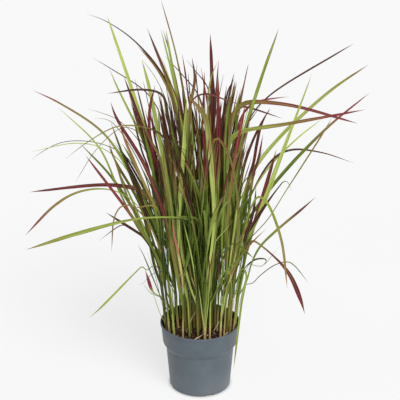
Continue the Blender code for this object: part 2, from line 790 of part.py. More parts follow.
soil = add_object("potting_soil", soil_mesh(dice), SOIL)
for count, shoot_row in enumerate(SHOOTS, start=1):
    seen_shoot(f"shoot_{count:02d}", shoot_row, dice)
for count, spot in enumerate(fill_roots(), start=len(SHOOTS) + 1):
    fill_shoot(f"shoot_{count:02d}", spot, dice)
cut(soil, "root_sockets", socket_cutter())
for count, straw_points in enumerate(STRAWS, start=1):
    fallen_straw(f"dry_straw_{count}", straw_points)
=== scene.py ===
"""A potted clump of red-tipped ornamental grass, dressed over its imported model."""

import json
import math
import random

import bmesh
import bpy
import numpy as np
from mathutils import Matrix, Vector, noise


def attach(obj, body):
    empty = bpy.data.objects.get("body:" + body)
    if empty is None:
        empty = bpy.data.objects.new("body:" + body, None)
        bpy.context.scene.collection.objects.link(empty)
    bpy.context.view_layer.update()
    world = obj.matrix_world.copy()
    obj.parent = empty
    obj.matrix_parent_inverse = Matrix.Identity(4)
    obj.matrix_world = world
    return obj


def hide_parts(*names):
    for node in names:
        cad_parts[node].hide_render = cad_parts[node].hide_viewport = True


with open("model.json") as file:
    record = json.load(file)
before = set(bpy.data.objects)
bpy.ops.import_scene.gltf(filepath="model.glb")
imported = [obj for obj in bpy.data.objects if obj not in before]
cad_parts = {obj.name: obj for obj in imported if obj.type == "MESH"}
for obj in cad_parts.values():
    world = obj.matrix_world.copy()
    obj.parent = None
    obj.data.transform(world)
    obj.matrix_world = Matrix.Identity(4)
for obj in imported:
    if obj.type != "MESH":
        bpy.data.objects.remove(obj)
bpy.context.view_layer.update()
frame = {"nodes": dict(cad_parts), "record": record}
bpy.ops.object.select_all(action="DESELECT")

# ---------------------------------------------------------------------------
# Nursery pot
# One thin-walled pot, injection moulded in blue-grey polypropylene: a lip, a
# deep collar that overhangs a tapered body, and a drained foot.
# ---------------------------------------------------------------------------

MM = 0.001
POT_SIDES = 128
FOOT_RADIUS = 65.2
# Up the outside, over the lip and down the inside to the floor: radius, height.
POT_WALL = (
    (73.0, 96.0),
    (79.6, 105.0),
    (83.6, 145.1),
    (85.0, 145.5),
    (85.0, 150.0),
    (82.0, 150.0),
    (78.0, 105.8),
    (71.4, 96.8),
    (63.6, 5.4),
    (60.6, 2.4),
)
# The edges that the mould rounds: radius, height, how far it rounds them.
POT_ROUNDS = (
    (65.2, 0.0, 3.0),
    (73.0, 96.0, 1.6),
    (79.6, 105.0, 1.2),
    (85.0, 145.5, 0.4),
    (85.0, 150.0, 0.9),
    (82.0, 150.0, 0.5),
    (78.0, 105.8, 1.2),
    (71.4, 96.8, 1.2),
)
ROUND_STEPS = 4
SMOOTH_BELOW = math.radians(35)
# The drains: notches in the foot's edge, half as high as their cutter, and holes
# in the floor on a circle round its middle.
NOTCHES = 4
NOTCH_SIZE = (15.0, 15.0, 11.0)
FIRST_NOTCH = math.radians(-72)
HOLES = 6
HOLE_SIDES = 24
HOLE_RADIUS = 5.0
HOLE_CIRCLE = 38.0
HOLE_DEPTH = 12.0


def paint(hex_colour):
    """A colour as Blender wants it, from its sRGB hex value."""
    parts = [int(hex_colour[i : i + 2], 16) / 255 for i in (1, 3, 5)]
    return (*(p / 12.92 if p <= 0.04045 else ((p + 0.055) / 1.055) ** 2.4 for p in parts), 1)


def link(node, **links):
    """Links values to a node's sockets, each by its name, or by i and its number."""
    for key, source in links.items():
        socket = int(key[1:]) if key[1:].isdigit() else key.replace("_", " ")
        node.id_data.links.new(source, node.inputs[socket])


def add_node(material, kind, gives=0, settings=None, values=None, **links):
    """Adds a node, sets it, links it, and hands back the output that it gives."""
    node = material.node_tree.nodes.new("ShaderNode" + kind)
    for key, value in (settings or {}).items():
        setattr(node, key, value)
    for key, value in (values or {}).items():
        node.inputs[key].default_value = value
    link(node, **links)
    return node.outputs[gives]


def noise_of(material, place, size, detail, roughness=0.5):
    """Noise in grains of this size (mm)."""
    values = {"Scale": 1 / (size * MM), "Detail": detail, "Roughness": roughness}
    return add_node(material, "TexNoise", "Fac", values=values, Vector=place)


def ramp(material, value, *stops):
    """Turns a value into a colour, by stops of a place and a colour each."""
    colour = add_node(material, "ValToRGB", Fac=value)
    elements = colour.node.color_ramp.elements
    for index, (place, hex_colour) in enumerate(stops):
        if index > 1:
            elements.new(1)
        elements[index].position = place
        elements[index].color = paint(hex_colour)
    return colour


def ranged(material, value, low, high, to_low=0.0, to_high=1.0, kind="LINEAR"):
    """Stretches a value's range, from low to high, to another one."""
    values = {"From Min": low, "From Max": high, "To Min": to_low, "To Max": to_high}
    return add_node(material, "MapRange", 0, {"interpolation_type": kind}, values, Value=value)


def times(material, first, second):
    """One value times another."""
    return add_node(material, "Math", 0, {"operation": "MULTIPLY"}, i0=first, i1=second)


def mixed(material, amount, first, second):
    """The first colour mixed with the second, which may be a hex value."""
    colour = add_node(material, "Mix", 2, {"data_type": "RGBA"}, i0=amount, i6=first)
    if isinstance(second, str):
        colour.node.inputs[7].default_value = paint(second)
    else:
        link(colour.node, i7=second)
    return colour


def roughen(material, shader, height, strength, depth):
    """Bumps the surface by a pattern of heights, this deep (mm)."""
    values = {"Strength": strength, "Distance": depth * MM}
    link(shader, Normal=add_node(material, "Bump", values=values, Height=height))


def new_material(name, **values):
    """A material and its shader, set to the finish's own values."""
    made = bpy.data.materials.new(name)
    made.use_nodes = True
    shader = made.node_tree.nodes["Principled BSDF"]
    for key, value in values.items():
        shader.inputs[key.replace("_", " ")].default_value = value
    return made, shader


def place_piece(piece, name, material, slot, *nodes):
    """Names a finished piece, gives it its material, and ties it to the frame."""
    piece.name = piece.data.name = name
    piece.data.materials.clear()
    piece.data.materials.append(material)
    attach(piece, "root")
    if nodes:
        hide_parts(*nodes)


def select_ring(mesh, radius, height):
    """Selects the edges that run round at this radius and height, or next to it (mm)."""
    for part in (mesh.verts, mesh.edges, mesh.faces):
        for item in part:
            item.select = False
    for edge in mesh.edges:
        edge.select = all(
            abs(v.co.z - height * MM) < 0.02 * MM and abs(v.co.xy.length - radius * MM) < 0.05 * MM
            for v in edge.verts
        )
    mesh.select_flush_mode()


def draw_wall(radius, height, wall):
    """Extrudes the selected ring through a wall's places, each a radius and a height."""
    for next_radius, next_height in wall:
        bpy.ops.mesh.extrude_region_move(
            TRANSFORM_OT_translate={"value": (0, 0, (next_height - height) * MM)}
        )
        spread = next_radius / radius
        bpy.ops.transform.resize(value=(spread, spread, 1), center_override=(0, 0, 0))
        radius, height = next_radius, next_height


def face_outwards():
    """Turns all faces of the edited mesh outwards, and ends the editing."""
    bpy.ops.mesh.select_all(action="SELECT")
    bpy.ops.mesh.normals_make_consistent(inside=False)
    bpy.ops.object.mode_set(mode="OBJECT")


bpy.ops.mesh.primitive_circle_add(vertices=POT_SIDES, radius=FOOT_RADIUS * MM)
pot = bpy.context.object
bpy.ops.object.mode_set(mode="EDIT")
bpy.ops.mesh.select_mode(type="EDGE")
bpy.ops.mesh.select_all(action="SELECT")
draw_wall(FOOT_RADIUS, 0.0, POT_WALL)
bpy.ops.mesh.edge_face_add()
pot_mesh = bmesh.from_edit_mesh(pot.data)
select_ring(pot_mesh, FOOT_RADIUS, 0)
bpy.ops.mesh.edge_face_add()
for radius, height, rounding in POT_ROUNDS:
    pot_mesh = bmesh.from_edit_mesh(pot.data)
    select_ring(pot_mesh, radius, height)
    bpy.ops.mesh.bevel(offset=rounding * MM, segments=ROUND_STEPS, affect="EDGES")
face_outwards()

cutters = []
for index in range(NOTCHES):
    turn = FIRST_NOTCH + index * math.tau / NOTCHES
    bpy.ops.mesh.primitive_cube_add(
        size=MM,
        location=(FOOT_RADIUS * MM * math.cos(turn), FOOT_RADIUS * MM * math.sin(turn), 0),
        rotation=(0, 0, turn),
        scale=NOTCH_SIZE,
    )
    cutters.append(bpy.context.object)
for index in range(HOLES):
    turn = index * math.tau / HOLES
    bpy.ops.mesh.primitive_cylinder_add(
        vertices=HOLE_SIDES,
        radius=HOLE_RADIUS * MM,
        depth=HOLE_DEPTH * MM,
        location=(HOLE_CIRCLE * MM * math.cos(turn), HOLE_CIRCLE * MM * math.sin(turn), 0),
    )
    cutters.append(bpy.context.object)
for cutter in cutters:
    cutter.select_set(True)
bpy.context.view_layer.objects.active = cutters[0]
bpy.ops.object.join()
cutter = bpy.context.object
bpy.ops.object.select_all(action="DESELECT")
bpy.context.view_layer.objects.active = pot
pot.select_set(True)
drains = pot.modifiers.new("drains", "BOOLEAN")
drains.operation = "DIFFERENCE"
drains.solver = "EXACT"
drains.object = cutter
bpy.ops.object.modifier_apply(modifier="drains")
bpy.data.objects.remove(cutter)
bpy.ops.object.shade_smooth_by_angle(angle=SMOOTH_BELOW)

# Moulded polypropylene, IOR 1.49: satin, with the fine spark-eroded texture of
# the mould (0.5 mm grains), faint flow marks, a little dried splash and dust
# towards the foot, and the inside wall above the soil darkened near black in patches.
DUST_TOP = 60
INSIDE = 82.6
DARK_INSIDE_FOOT = 137
plastic, shader = new_material(
    "moulded blue-grey polypropylene", Metallic=0, IOR=1.49, Roughness=0.46
)
place = add_node(plastic, "TexCoord", "Object")
flow = noise_of(plastic, place, 45, 4.0, 0.55)
tint = ramp(plastic, flow, (0.30, "#4C575F"), (0.52, "#535E66"), (0.72, "#5B6369"))
patches = noise_of(plastic, place, 9, 6.0, 0.7)
level = add_node(plastic, "SeparateXYZ", "Z", Vector=place)
low = ranged(plastic, level, DUST_TOP * MM, 0.0, 0.0, 0.30)
dusted = mixed(plastic, times(plastic, low, patches), tint, "#8E9296")
aside = add_node(plastic, "VectorMath", 0, {"operation": "MULTIPLY"}, {1: (1, 1, 0)}, i0=place)
far = add_node(plastic, "VectorMath", "Value", {"operation": "LENGTH"}, i0=aside)
# The inside wall above the soil is darkened to near black in patches.
inside = ranged(plastic, far, (INSIDE + 0.3) * MM, (INSIDE - 0.3) * MM, 0.0, 1.6)
above = ranged(plastic, level, DARK_INSIDE_FOOT * MM, (DARK_INSIDE_FOOT + 1) * MM)
inside_darkening = times(plastic, times(plastic, inside, above), patches)
link(shader, Base_Color=mixed(plastic, inside_darkening, dusted, "#1E1713"))
link(shader, Roughness=ranged(plastic, patches, 0.3, 0.7, 0.40, 0.54))
roughen(plastic, shader, noise_of(plastic, place, 0.5, 2.0), 0.12, 0.1)
place_piece(pot, "nursery_pot", plastic, "pot_plastic", "pot")

# ---------------------------------------------------------------------------
# Potting soil
# A plug of dark peat, shaped by the pot, with a crumbly top a finger below the
# rim. Crumbs, bark, white grit and root fibres lie loose on it.
# ---------------------------------------------------------------------------

SOIL_RADIUS = 80.4
SOIL_LEVEL = 136.5
SOIL_STEPS = 36
SOIL_SIDES = 160
SOIL_SIDE = ((77.4, 106.6), (70.8, 97.6), (63.0, 5.7), (60.0, 2.7))
# The top's mounds, lumps and crumbs: height, breadth (mm), and which ones.
SOIL_LUMPS = ((1.4, 30, 7), (1.6, 9, 3), (1.1, 2.6, 5))
# How much higher the middle lies, how far out that reaches, and from where and
# over what width the top turns down to the wall.
SOIL_CROWN = 0.8
CROWN_REACH = 40
SOIL_EDGE = 72
EDGE_WIDTH = 8


def soil_height(x, y):
    """How high the soil's top lies at a place, all in millimetres."""
    far = math.hypot(x, y)
    lumps = sum(
        height * noise.noise(Vector((x, y, seed)) / breadth) for height, breadth, seed in SOIL_LUMPS
    )
    edge = max(0.0, (far - SOIL_EDGE) / EDGE_WIDTH)
    crown = SOIL_CROWN * (1 - far / CROWN_REACH)
    return SOIL_LEVEL + crown + lumps * (1 - 0.5 * edge) - edge


bpy.ops.mesh.primitive_circle_add(
    vertices=SOIL_SIDES,
    radius=SOIL_RADIUS / SOIL_STEPS * MM,
    fill_type="TRIFAN",
    location=(0, 0, SOIL_LEVEL * MM),
)
soil = bpy.context.object
bpy.ops.object.transform_apply(location=True)
bpy.ops.object.mode_set(mode="EDIT")
bpy.ops.mesh.select_mode(type="EDGE")
soil_mesh = bmesh.from_edit_mesh(soil.data)
select_ring(soil_mesh, SOIL_RADIUS / SOIL_STEPS, SOIL_LEVEL)
for step in range(1, SOIL_STEPS):
    bpy.ops.mesh.extrude_region_move()
    spread = (step + 1) / step
    bpy.ops.transform.resize(value=(spread, spread, 1), center_override=(0, 0, 0))
draw_wall(SOIL_RADIUS, SOIL_LEVEL, SOIL_SIDE)
bpy.ops.mesh.edge_face_add()
face_outwards()
for vert in soil.data.vertices:
    if vert.co.z > (SOIL_LEVEL - 1) * MM:
        vert.co.z = soil_height(vert.co.x / MM, vert.co.y / MM) * MM
bpy.ops.object.shade_smooth()

# Peat, IOR 1.4 and quite matt: near black where it is wet, red-brown where it
# has dried, in 5 mm clods of 1.6 mm crumbs that stand 0.8 mm high.
peat, shader = new_material("damp crumbly peat", Metallic=0, IOR=1.4, Roughness=0.92)
place = add_node(peat, "TexCoord", "Object")
clods = noise_of(peat, place, 5, 6.0, 0.75)
brown = ramp(
    peat, clods, (0.35, "#120B09"), (0.52, "#22140E"), (0.62, "#38221A"), (0.75, "#553526")
)
link(shader, Base_Color=brown)
crumb_values = {"Scale": 1 / (1.6 * MM), "Detail": 2.0}
crumbs = add_node(peat, "TexVoronoi", "Distance", values=crumb_values, Vector=place)
roughen(peat, shader, crumbs, 0.9, 0.8)
place_piece(soil, "peat_plug", peat, "potting_soil", "potting_soil")


def flat_arrays(piece):
    """A small mesh as arrays: its points, and its faces as runs of point numbers."""
    mesh = piece.data
    points = np.empty(len(mesh.vertices) * 3)
    mesh.vertices.foreach_get("co", points)
    corners = np.empty(len(mesh.loops), np.int32)
    mesh.loops.foreach_get("vertex_index", corners)
    sizes = np.empty(len(mesh.polygons), np.int32)
    mesh.polygons.foreach_get("loop_total", sizes)
    return points.reshape(-1, 3), corners, sizes


def join_copies(name, copies, marks=()):
    """Joins copies (points, corners, sizes, their marks) into one new mesh object."""
    starts = np.cumsum([0] + [len(copy[0]) for copy in copies[:-1]])
    points = np.concatenate([copy[0] for copy in copies])
    corners = np.concatenate([copy[1] + start for copy, start in zip(copies, starts)])
    sizes = np.concatenate([copy[2] for copy in copies])
    mesh = bpy.data.meshes.new(name)
    mesh.vertices.add(len(points))
    mesh.vertices.foreach_set("co", points.astype(np.float32).ravel())
    mesh.loops.add(len(corners))
    mesh.loops.foreach_set("vertex_index", corners.astype(np.int32))
    mesh.polygons.add(len(sizes))
    mesh.polygons.foreach_set("loop_start", np.concatenate(([0], np.cumsum(sizes)[:-1])))
    mesh.polygons.foreach_set("loop_total", sizes)
    mesh.polygons.foreach_set("use_smooth", np.ones(len(sizes), bool))
    for mark in marks:
        layer = mesh.attributes.new(mark, "FLOAT", "POINT")
        values = np.concatenate([np.broadcast_to(copy[3][mark], len(copy[0])) for copy in copies])
        layer.data.foreach_set("value", values.astype(np.float32))
    mesh.update(calc_edges=True)
    mesh.validate()
    made = bpy.data.objects.new(name, mesh)
    bpy.context.scene.collection.objects.link(made)
    return made


# A loose bit's corners stand out or in by these shares, it lies this much askew
# (radians), it sinks in by a quarter of its height, and most bits are small.
BIT_CORNERS = (0.75, 1.2)
BIT_TILT = 0.5
BIT_SUNK = 0.25
SMALL_BITS = 0.8
chance = random.Random(11)
bpy.ops.mesh.primitive_ico_sphere_add(subdivisions=1, radius=0.5)
crumb = bpy.context.object
crumb_points, crumb_corners, crumb_sizes = flat_arrays(crumb)
bpy.data.objects.remove(crumb)


def scatter(name, material, count, reach, sizes, squash):
    """Loose bits on the soil: lumps of these sizes (mm), this much longer and flatter."""
    bits = []
    for _ in range(count):
        far, turn = reach * math.sqrt(chance.random()), chance.uniform(0, math.tau)
        x, y = far * math.cos(turn), far * math.sin(turn)
        size = chance.uniform(*sizes) if chance.random() < SMALL_BITS else sizes[1]
        rough = np.array([chance.uniform(*BIT_CORNERS) for _ in crumb_points])[:, None]
        long, flat = chance.uniform(1, squash[0]), chance.uniform(squash[1], 1)
        bit = crumb_points * rough * (size * long, size, size * flat)
        spin, tip = chance.uniform(0, math.tau), chance.uniform(-BIT_TILT, BIT_TILT)
        c, s, ct, st = math.cos(spin), math.sin(spin), math.cos(tip), math.sin(tip)
        bit = bit @ np.array([[ct, 0, st], [0, 1, 0], [-st, 0, ct]]).T
        bit = bit @ np.array([[c, -s, 0], [s, c, 0], [0, 0, 1]]).T
        lift = soil_height(x, y) + BIT_SUNK * size * flat
        bits.append(
            ((bit + (x, y, lift)) * MM, crumb_corners, crumb_sizes, {"shade": chance.random()})
        )
    place_piece(join_copies(name, bits, ("shade",)), name, material, "potting_soil")


def mark_value(material, mark):
    """The value of one of the marks on the mesh."""
    return add_node(material, "Attribute", "Fac", {"attribute_name": mark})


def add_share(material, value, share, other):
    """A value with a share of another one added."""
    return add_node(
        material, "Math", 0, {"operation": "MULTIPLY_ADD"}, {1: share}, i0=other, i2=value
    )


# Loose peat crumbs and bark: the same peat, drier, from near black to a light
# red-brown, each bit its own shade.
dry_peat, shader = new_material("dry peat crumbs and bark", Metallic=0, IOR=1.4, Roughness=0.88)
place = add_node(dry_peat, "TexCoord", "Object")
fleck = noise_of(dry_peat, place, 1.2, 4.0)
lively = add_share(dry_peat, mark_value(dry_peat, "shade"), 0.35, fleck)
brown = ramp(
    dry_peat, lively, (0.25, "#150D0A"), (0.60, "#2E1B13"), (0.85, "#543322"), (1.0, "#7E563A")
)
link(shader, Base_Color=brown)
roughen(dry_peat, shader, fleck, 0.6, 0.3)
scatter("peat_crumbs", dry_peat, 2600, 79.0, (0.7, 2.6), (1.5, 0.6))
scatter("bark_bits", dry_peat, 170, 77.0, (1.8, 4.2), (2.6, 0.35))

# Perlite, IOR 1.5: white, dull and full of tiny holes.
perlite, shader = new_material("white perlite grit", IOR=1.5, Roughness=0.85)
place = add_node(perlite, "TexCoord", "Object")
holes = noise_of(perlite, place, 0.7, 3.0)
link(shader, Base_Color=ramp(perlite, holes, (0.35, "#9C968A"), (0.55, "#DAD6CC")))
roughen(perlite, shader, holes, 0.5, 0.2)
scatter("perlite_grit", perlite, 40, 76.0, (1.4, 3.0), (1.3, 0.8))

# Root fibres, IOR 1.45 and matt: thin, stiff and pale, a few darker than the rest.
root, shader = new_material("pale root fibres", Metallic=0, IOR=1.45, Roughness=0.8)
shade = mark_value(root, "shade")
pale = ramp(root, shade, (0.0, "#6E4C34"), (0.35, "#A98C66"), (1.0, "#D9CBA8"))
link(shader, Base_Color=pale)
scatter("root_fibres", root, 90, 75.0, (0.4, 0.7), (34, 0.8))

# ---------------------------------------------------------------------------
# Grass shoots
# Each shoot is a stem of wrapped leaf sheaths with long narrow blades folded
# along a midrib, grown as one piece, lime or olive green below and wine red
# towards the tips. Younger and thinner leaves stand close along the older ones.
# ---------------------------------------------------------------------------

STEM_STEPS = 30
LEAF_STEPS = 56
THIN_STEPS = 20
LEAF_THICK = 0.36
FOOT_LEVEL = 124.5
# How much thicker a stem gets below a collar, the bead on the collar (mm), and
# over what share of the stem each of them runs out.
SHEATH_STEP = 0.28
COLLAR_BEAD = 0.22
COLLAR_RUN = 0.02
# A stem's radius at its foot and neck (mm), its section's breadth and depth as
# shares, and what turns each section its own way, by the stem's thickness.
STEM_FOOT = (1.9, 2.5)
STEM_NECK = 1.45
STEM_OVAL = (1.18, 0.86)
OVAL_TURN = 9e4
# How far below its joint a leaf's line starts, and how far from it the solid's
# own line is taken up (mm).
LEAF_ROOT = 14
LEAF_FREE = 32
# What the mesh tells the leaf's material: green, red and how far it has turned,
# how dry it is, and the place across and along the blade.
LEAF_MARKS = ("shade", "depth", "blush", "straw", "across", "along")

# A leaf's coat: its green, from lime 0 to deep 1; its red, from salmon 0 to
# dark wine 1; and how far it has turned, at even places from its base to its
# tip: green 0, bronze 0.45, red 0.8 and on.
COATS = {
    "lime": (0.05, 0.35, (0, 0, 0, 0.03, 0.2)),
    "olive lime": (0.25, 0.35, (0, 0.08, 0.12, 0.16, 0.4)),
    "lime tipped": (0.15, 0.50, (0, 0, 0.1, 0.5, 1)),
    "lime to bronze": (0.05, 0.30, (0, 0, 0, 0.05, 0.2, 0.32, 0.5)),
    "lime to salmon": (0.00, 0.10, (0, 0, 0.02, 0.12, 0.3, 0.6)),
    "lime to tan": (0.05, 0.35, (0, 0, 0, 0, 0, 0.05, 0.25, 0.45, 0.7, 0.9)),
    "pale to crimson": (0.20, 0.40, (0, 0, 0.05, 0.12, 0.3, 0.55, 0.9)),
    "patched tan": (0.12, 0.45, (0, 0, 0.02, 0.1, 0.1, 0.3, 0.42, 0.5, 0.9)),
    "sage to tan": (0.22, 0.00, (0, 0.04, 0.08, 0.12, 0.2, 0.3, 0.48, 0.62)),
    "wine over olive": (0.42, 0.55, (0, 0, 0.12, 0.4, 0.9, 1, 1)),
    "olive green": (0.27, 0.50, (0.02, 0.12, 0.18, 0.2, 0.23, 0.36)),
    "green": (0.45, 0.55, (0, 0, 0, 0.05, 0.3)),
    "green tipped": (0.45, 0.65, (0, 0, 0.12, 0.5, 1)),
    "late tipped": (0.35, 0.45, (0, 0, 0, 0.05, 0.3, 0.75, 1)),
    "deep green": (0.85, 0.65, (0, 0, 0, 0, 0.2)),
    "grey green": (0.65, 0.80, (0, 0, 0.1, 0.2, 0.4)),
    "olive": (0.40, 0.45, (0.1, 0.22, 0.32, 0.42, 0.6)),
    "olive to brown": (0.35, 0.80, (0, 0.12, 0.3, 0.5, 0.75)),
    "olive to wine": (0.40, 0.60, (0.05, 0.2, 0.38, 0.7, 1)),
    "brown to wine": (0.45, 0.55, (0.05, 0.15, 0.35, 0.45, 0.85, 0.7, 0.75, 1, 1)),
    "olive to dark": (0.45, 0.85, (0.1, 0.2, 0.35, 0.7, 1, 1, 1)),
    "bronze": (0.50, 0.60, (0.1, 0.35, 0.45, 0.5, 0.7)),
    "salmon": (0.40, 0.05, (0.2, 0.6, 0.9, 1, 1)),
    "crimson": (0.40, 0.32, (0.1, 0.5, 0.8, 1, 1)),
    "crimson above": (0.40, 0.27, (0.1, 0.25, 0.4, 0.48, 0.62, 0.9, 1)),
    "wine": (0.50, 0.60, (0.1, 0.4, 0.8, 1, 1)),
    "dark wine": (0.60, 0.95, (0.15, 0.5, 0.9, 1, 1)),
    "brown pink": (0.30, 0.22, (0, 0.2, 0.4, 0.5, 0.66)),
    "purple": (0.50, 0.60, (0, 0.3, 0.8, 1, 1)),
    "magenta": (0.50, 0.44, (0, 0.3, 0.8, 1, 1)),
    "arched wine": (0.45, 0.85, (0, 0, 0.2, 0.8, 1, 1, 0.9, 0.6, 0.35, 0.3, 0.6)),
    "tan and crimson": (0.35, 0.50, (0.3, 0.4, 0.42, 0.32, 0.36, 0.52, 0.68, 1, 1)),
    "red drop": (0.10, 0.22, (0, 0, 0, 0.2, 1, 1, 1)),
}
# The outer shoots' leaves, from the lowest to the last: coat, and widths at even
# places from base to tip (mm), less where the blade is seen more edge on.
SHOOT_LEAVES = {
    "shoot_01": (("lime", 6, 7.5, 8.5, 8.5, 6), ("olive to dark", 7, 7, 5, 4.5, 4.5, 4)),
    "shoot_02": (("wine", 7, 7.5, 7.5, 7, 5.5), ("lime", 6, 7, 7, 6.5, 5)),
    "shoot_03": (("lime", 6, 7.5, 7, 6, 4.5), ("olive", 3.5, 3, 3, 3.5, 3, 2.5)),
    "shoot_04": (("wine", 6, 6, 5, 4, 3), ("olive to dark", 6, 7, 9, 9, 5, 2.4, 1.3)),
    "shoot_05": (("wine", 5, 6, 7, 7, 5.5), ("olive to brown", 6, 8, 9.5, 9, 7, 4)),
    "shoot_06": (("green tipped", 6, 6.5, 6, 5, 3.5), ("purple", 7, 8, 9, 9, 8, 6)),
    "shoot_07": (("late tipped", 3, 3, 3, 3.5, 3, 2), ("magenta", 6, 7, 7.5, 7, 5)),
    "shoot_08": (("wine", 5, 6, 5.5, 4, 3), ("lime to salmon", 4, 5, 7, 10, 11, 12)),
    "shoot_09": (("lime", 5, 6, 8, 8.5, 8, 5.5), ("olive green", 2, 2, 2.4, 3, 3.6, 6, 8.5, 8, 5)),
    "shoot_10": (
        ("brown to wine", 8, 8, 8, 7.5, 6),
        ("arched wine", 5, 6, 7.5, 8, 5, 3.5, 3, 2, 1.5),
    ),
    "shoot_11": (("wine", 6, 7, 7.5, 6, 4), ("olive lime", 6, 7, 8, 8, 7, 5)),
    "shoot_12": (("olive", 5, 5.5, 6, 5, 3.5, 3), ("crimson above", 6, 6.5, 6, 5.5, 5)),
    "shoot_13": (("lime to tan", 6, 9, 12, 11, 9, 8, 6.5, 4), ("lime", 8, 9, 10, 9, 7, 4, 2.5)),
    "shoot_14": (
        ("dark wine", 3, 2.2, 1.6, 1.6, 2, 3.5, 4, 3.5),
        ("lime to bronze", 6, 7, 7.5, 7.5, 7, 6, 4),
    ),
    "shoot_15": (
        ("wine", 3, 3, 3, 4, 4.5, 3),
        ("crimson", 4, 3, 3, 4, 4.5, 3),
        ("tan and crimson", 6, 6, 6, 8, 12, 9, 7, 6, 5),
    ),
    "shoot_16": (
        ("dark wine", 1.4, 1, 1, 1.2, 4.5, 4.5, 2.5, 1.5),
        ("lime", 5, 4.5, 4, 4, 3),
        ("late tipped", 5, 6, 7, 7.5, 6, 4.5, 3.5),
    ),
    "shoot_17": (("wine", 6, 7.5, 9, 8.5, 6), ("olive", 2.5, 2.2, 2, 2, 3, 3.5, 3)),
    "shoot_18": (
        ("green tipped", 3, 3.5, 4, 5.5, 5.5, 4.5),
        ("brown to wine", 4, 5, 5, 4, 3.5, 6.5, 10.5, 10, 6),
    ),
    "shoot_19": (
        ("green", 1.6, 1.8, 2, 2.2, 2.2, 2),
        ("bronze", 1.6, 1.5, 1.4, 1.4, 1.3),
        ("grey green", 2.5, 3, 4, 3.5, 2.5),
    ),
    "shoot_20": (
        ("olive lime", 3, 3, 3.5, 4.5, 4.5, 4, 3),
        ("sage to tan", 2, 2, 2.5, 4, 5.5, 5.5, 5, 4),
    ),
    "shoot_21": (("dark wine", 3, 4, 5, 7.5, 7, 3, 2), ("green", 5, 5.5, 5, 4, 3)),
    "shoot_22": (("green tipped", 5, 5.5, 5, 4), ("dark wine", 6, 6.5, 6, 5, 4)),
    "shoot_23": (("dark wine", 4, 4, 3.5, 3, 2.5, 2), ("lime", 5, 5, 4.5, 3.5)),
    "shoot_24": (("lime", 5, 5.5, 6, 5.5, 3.5), ("wine", 6, 5, 3, 2.2, 2.4, 1.8)),
    "shoot_25": (("grey green", 3, 2.5, 2, 1.5, 1.5, 1.2), ("bronze", 5, 4, 2.2, 1.5, 1.3, 1.2)),
    "shoot_26": (("green", 6, 6, 6, 5, 4), ("patched tan", 6, 6, 5, 4, 7, 4, 4.5, 4, 3)),
    "shoot_27": (
        ("grey green", 4, 3, 2, 1.6),
        ("grey green", 3, 3, 2, 1.6, 1.6, 1.4),
        ("lime", 4, 3.5, 2.5, 2, 2, 1.8),
    ),
    "shoot_28": (
        ("olive to brown", 7, 7, 6.5, 6, 5),
        ("green", 6, 6.5, 7, 5, 3),
        ("lime", 5, 4.5, 4, 4, 3, 2),
    ),
    "shoot_29": (
        ("wine over olive", 4, 4, 4.5, 7.5, 8, 6.5, 5),
        ("pale to crimson", 2, 1.5, 1.5, 2, 4.5, 6, 4.5),
    ),
    "shoot_30": (
        ("dark wine", 3, 3, 2.6, 2.2),
        ("wine over olive", 6, 7, 6.5, 5.5, 5),
        ("bronze", 4, 3.5, 3, 3, 2.8),
    ),
    "shoot_31": (
        ("red drop", 2, 2, 3, 7.5, 9.5, 6),
        ("olive lime", 1.6, 1.8, 2.5, 3.5, 5, 5, 4),
        ("wine", 5, 6, 6.5, 6),
    ),
}
# How often the inner and the thin leaves take a coat, high up and low down.
INNER_COATS = {
    "wine": 19, "dark wine": 12, "crimson": 6, "olive to wine": 20, "olive to brown": 15,
    "green tipped": 9, "green": 3, "deep green": 3, "lime": 7, "lime tipped": 5,
    "olive lime": 6, "olive": 14, "bronze": 13,
}
# Low down, deep green weighs most: partly the leaves' own darker green, partly painted shade of the
# clump's dim inside.
LOW_COATS = {
    "green": 24, "deep green": 38, "grey green": 10, "lime": 8, "olive": 14, "bronze": 6,
}
# The close inner clump, by height: how far from its middle the thin leaves stay,
# and how far its middle leans (mm).
CLUMP = (
    (130, 72, 0),
    (200, 76, 6),
    (315, 92, 8),
    (430, 126, 0),
    (555, 150, -24),
    (650, 122, -52),
    (760, 82, -54),
)
# How many thin leaves stand along a leaf that stays inside the clump, how many
# low ones besides, and the rows of the line that they follow.
THIN_LEAVES = 4.9
LOW_LEAVES = 4
THIN_ROWS = 90
# How much wider the outer, the inner and the traced leaves are than stated, and
# how far the outer ones turn their faces to the camera.
OUTER_SHARE = 1.14
INNER_SHARE = 0.95
TRACED_SHARE = 0.92
TOWARD_VIEW = 0.9
# Ranges that a thin leaf's line is drawn from: how far it stands off the leaf it
# follows, and further off at the tip, and bows aside (mm); where along it the
# high and the low ones begin, where the high ones end, as shares; at what height
# the low ones end (m); how far past the clump's edge it may reach; its width.
THIN_OFF = (2, 6)
THIN_SPREAD = (4, 26)
THIN_BOW = (-9, 9)
HIGH_START = (0.12, 0.45)
LOW_START = (0.08, 0.25)
HIGH_END = (0.60, 0.97)
LOW_END = (0.26, 0.50)
EDGE_LUCK = (-16, 12)
HIGH_WIDTH = (2.6, 6.4)
LOW_WIDTH = (1.4, 3.0)
# The first places of a line that never count as outside, and the fewest places
# that make a thin leaf, of the rows along a whole one.
ROOTED_ROWS = 25
THIN_LEAST = 16
# From which height on the inner leaves turn red (m).
RED_FROM = (0.47, 0.57)
THIN_RED_FROM = (0.47, 0.55)
# Above which height thin leaves take the inner leaves' coats (m).
HIGH_COATS_FROM = (0.36, 0.50)
# Widths at even places from base to tip, as shares of the widest.
INNER_SHAPE = (0.38, 0.5, 0.85, 1, 0.9)
THIN_SHAPE = (0.45, 0.7, 1, 0.9)
TRACED_SHAPE = (0.45, 0.9, 1)

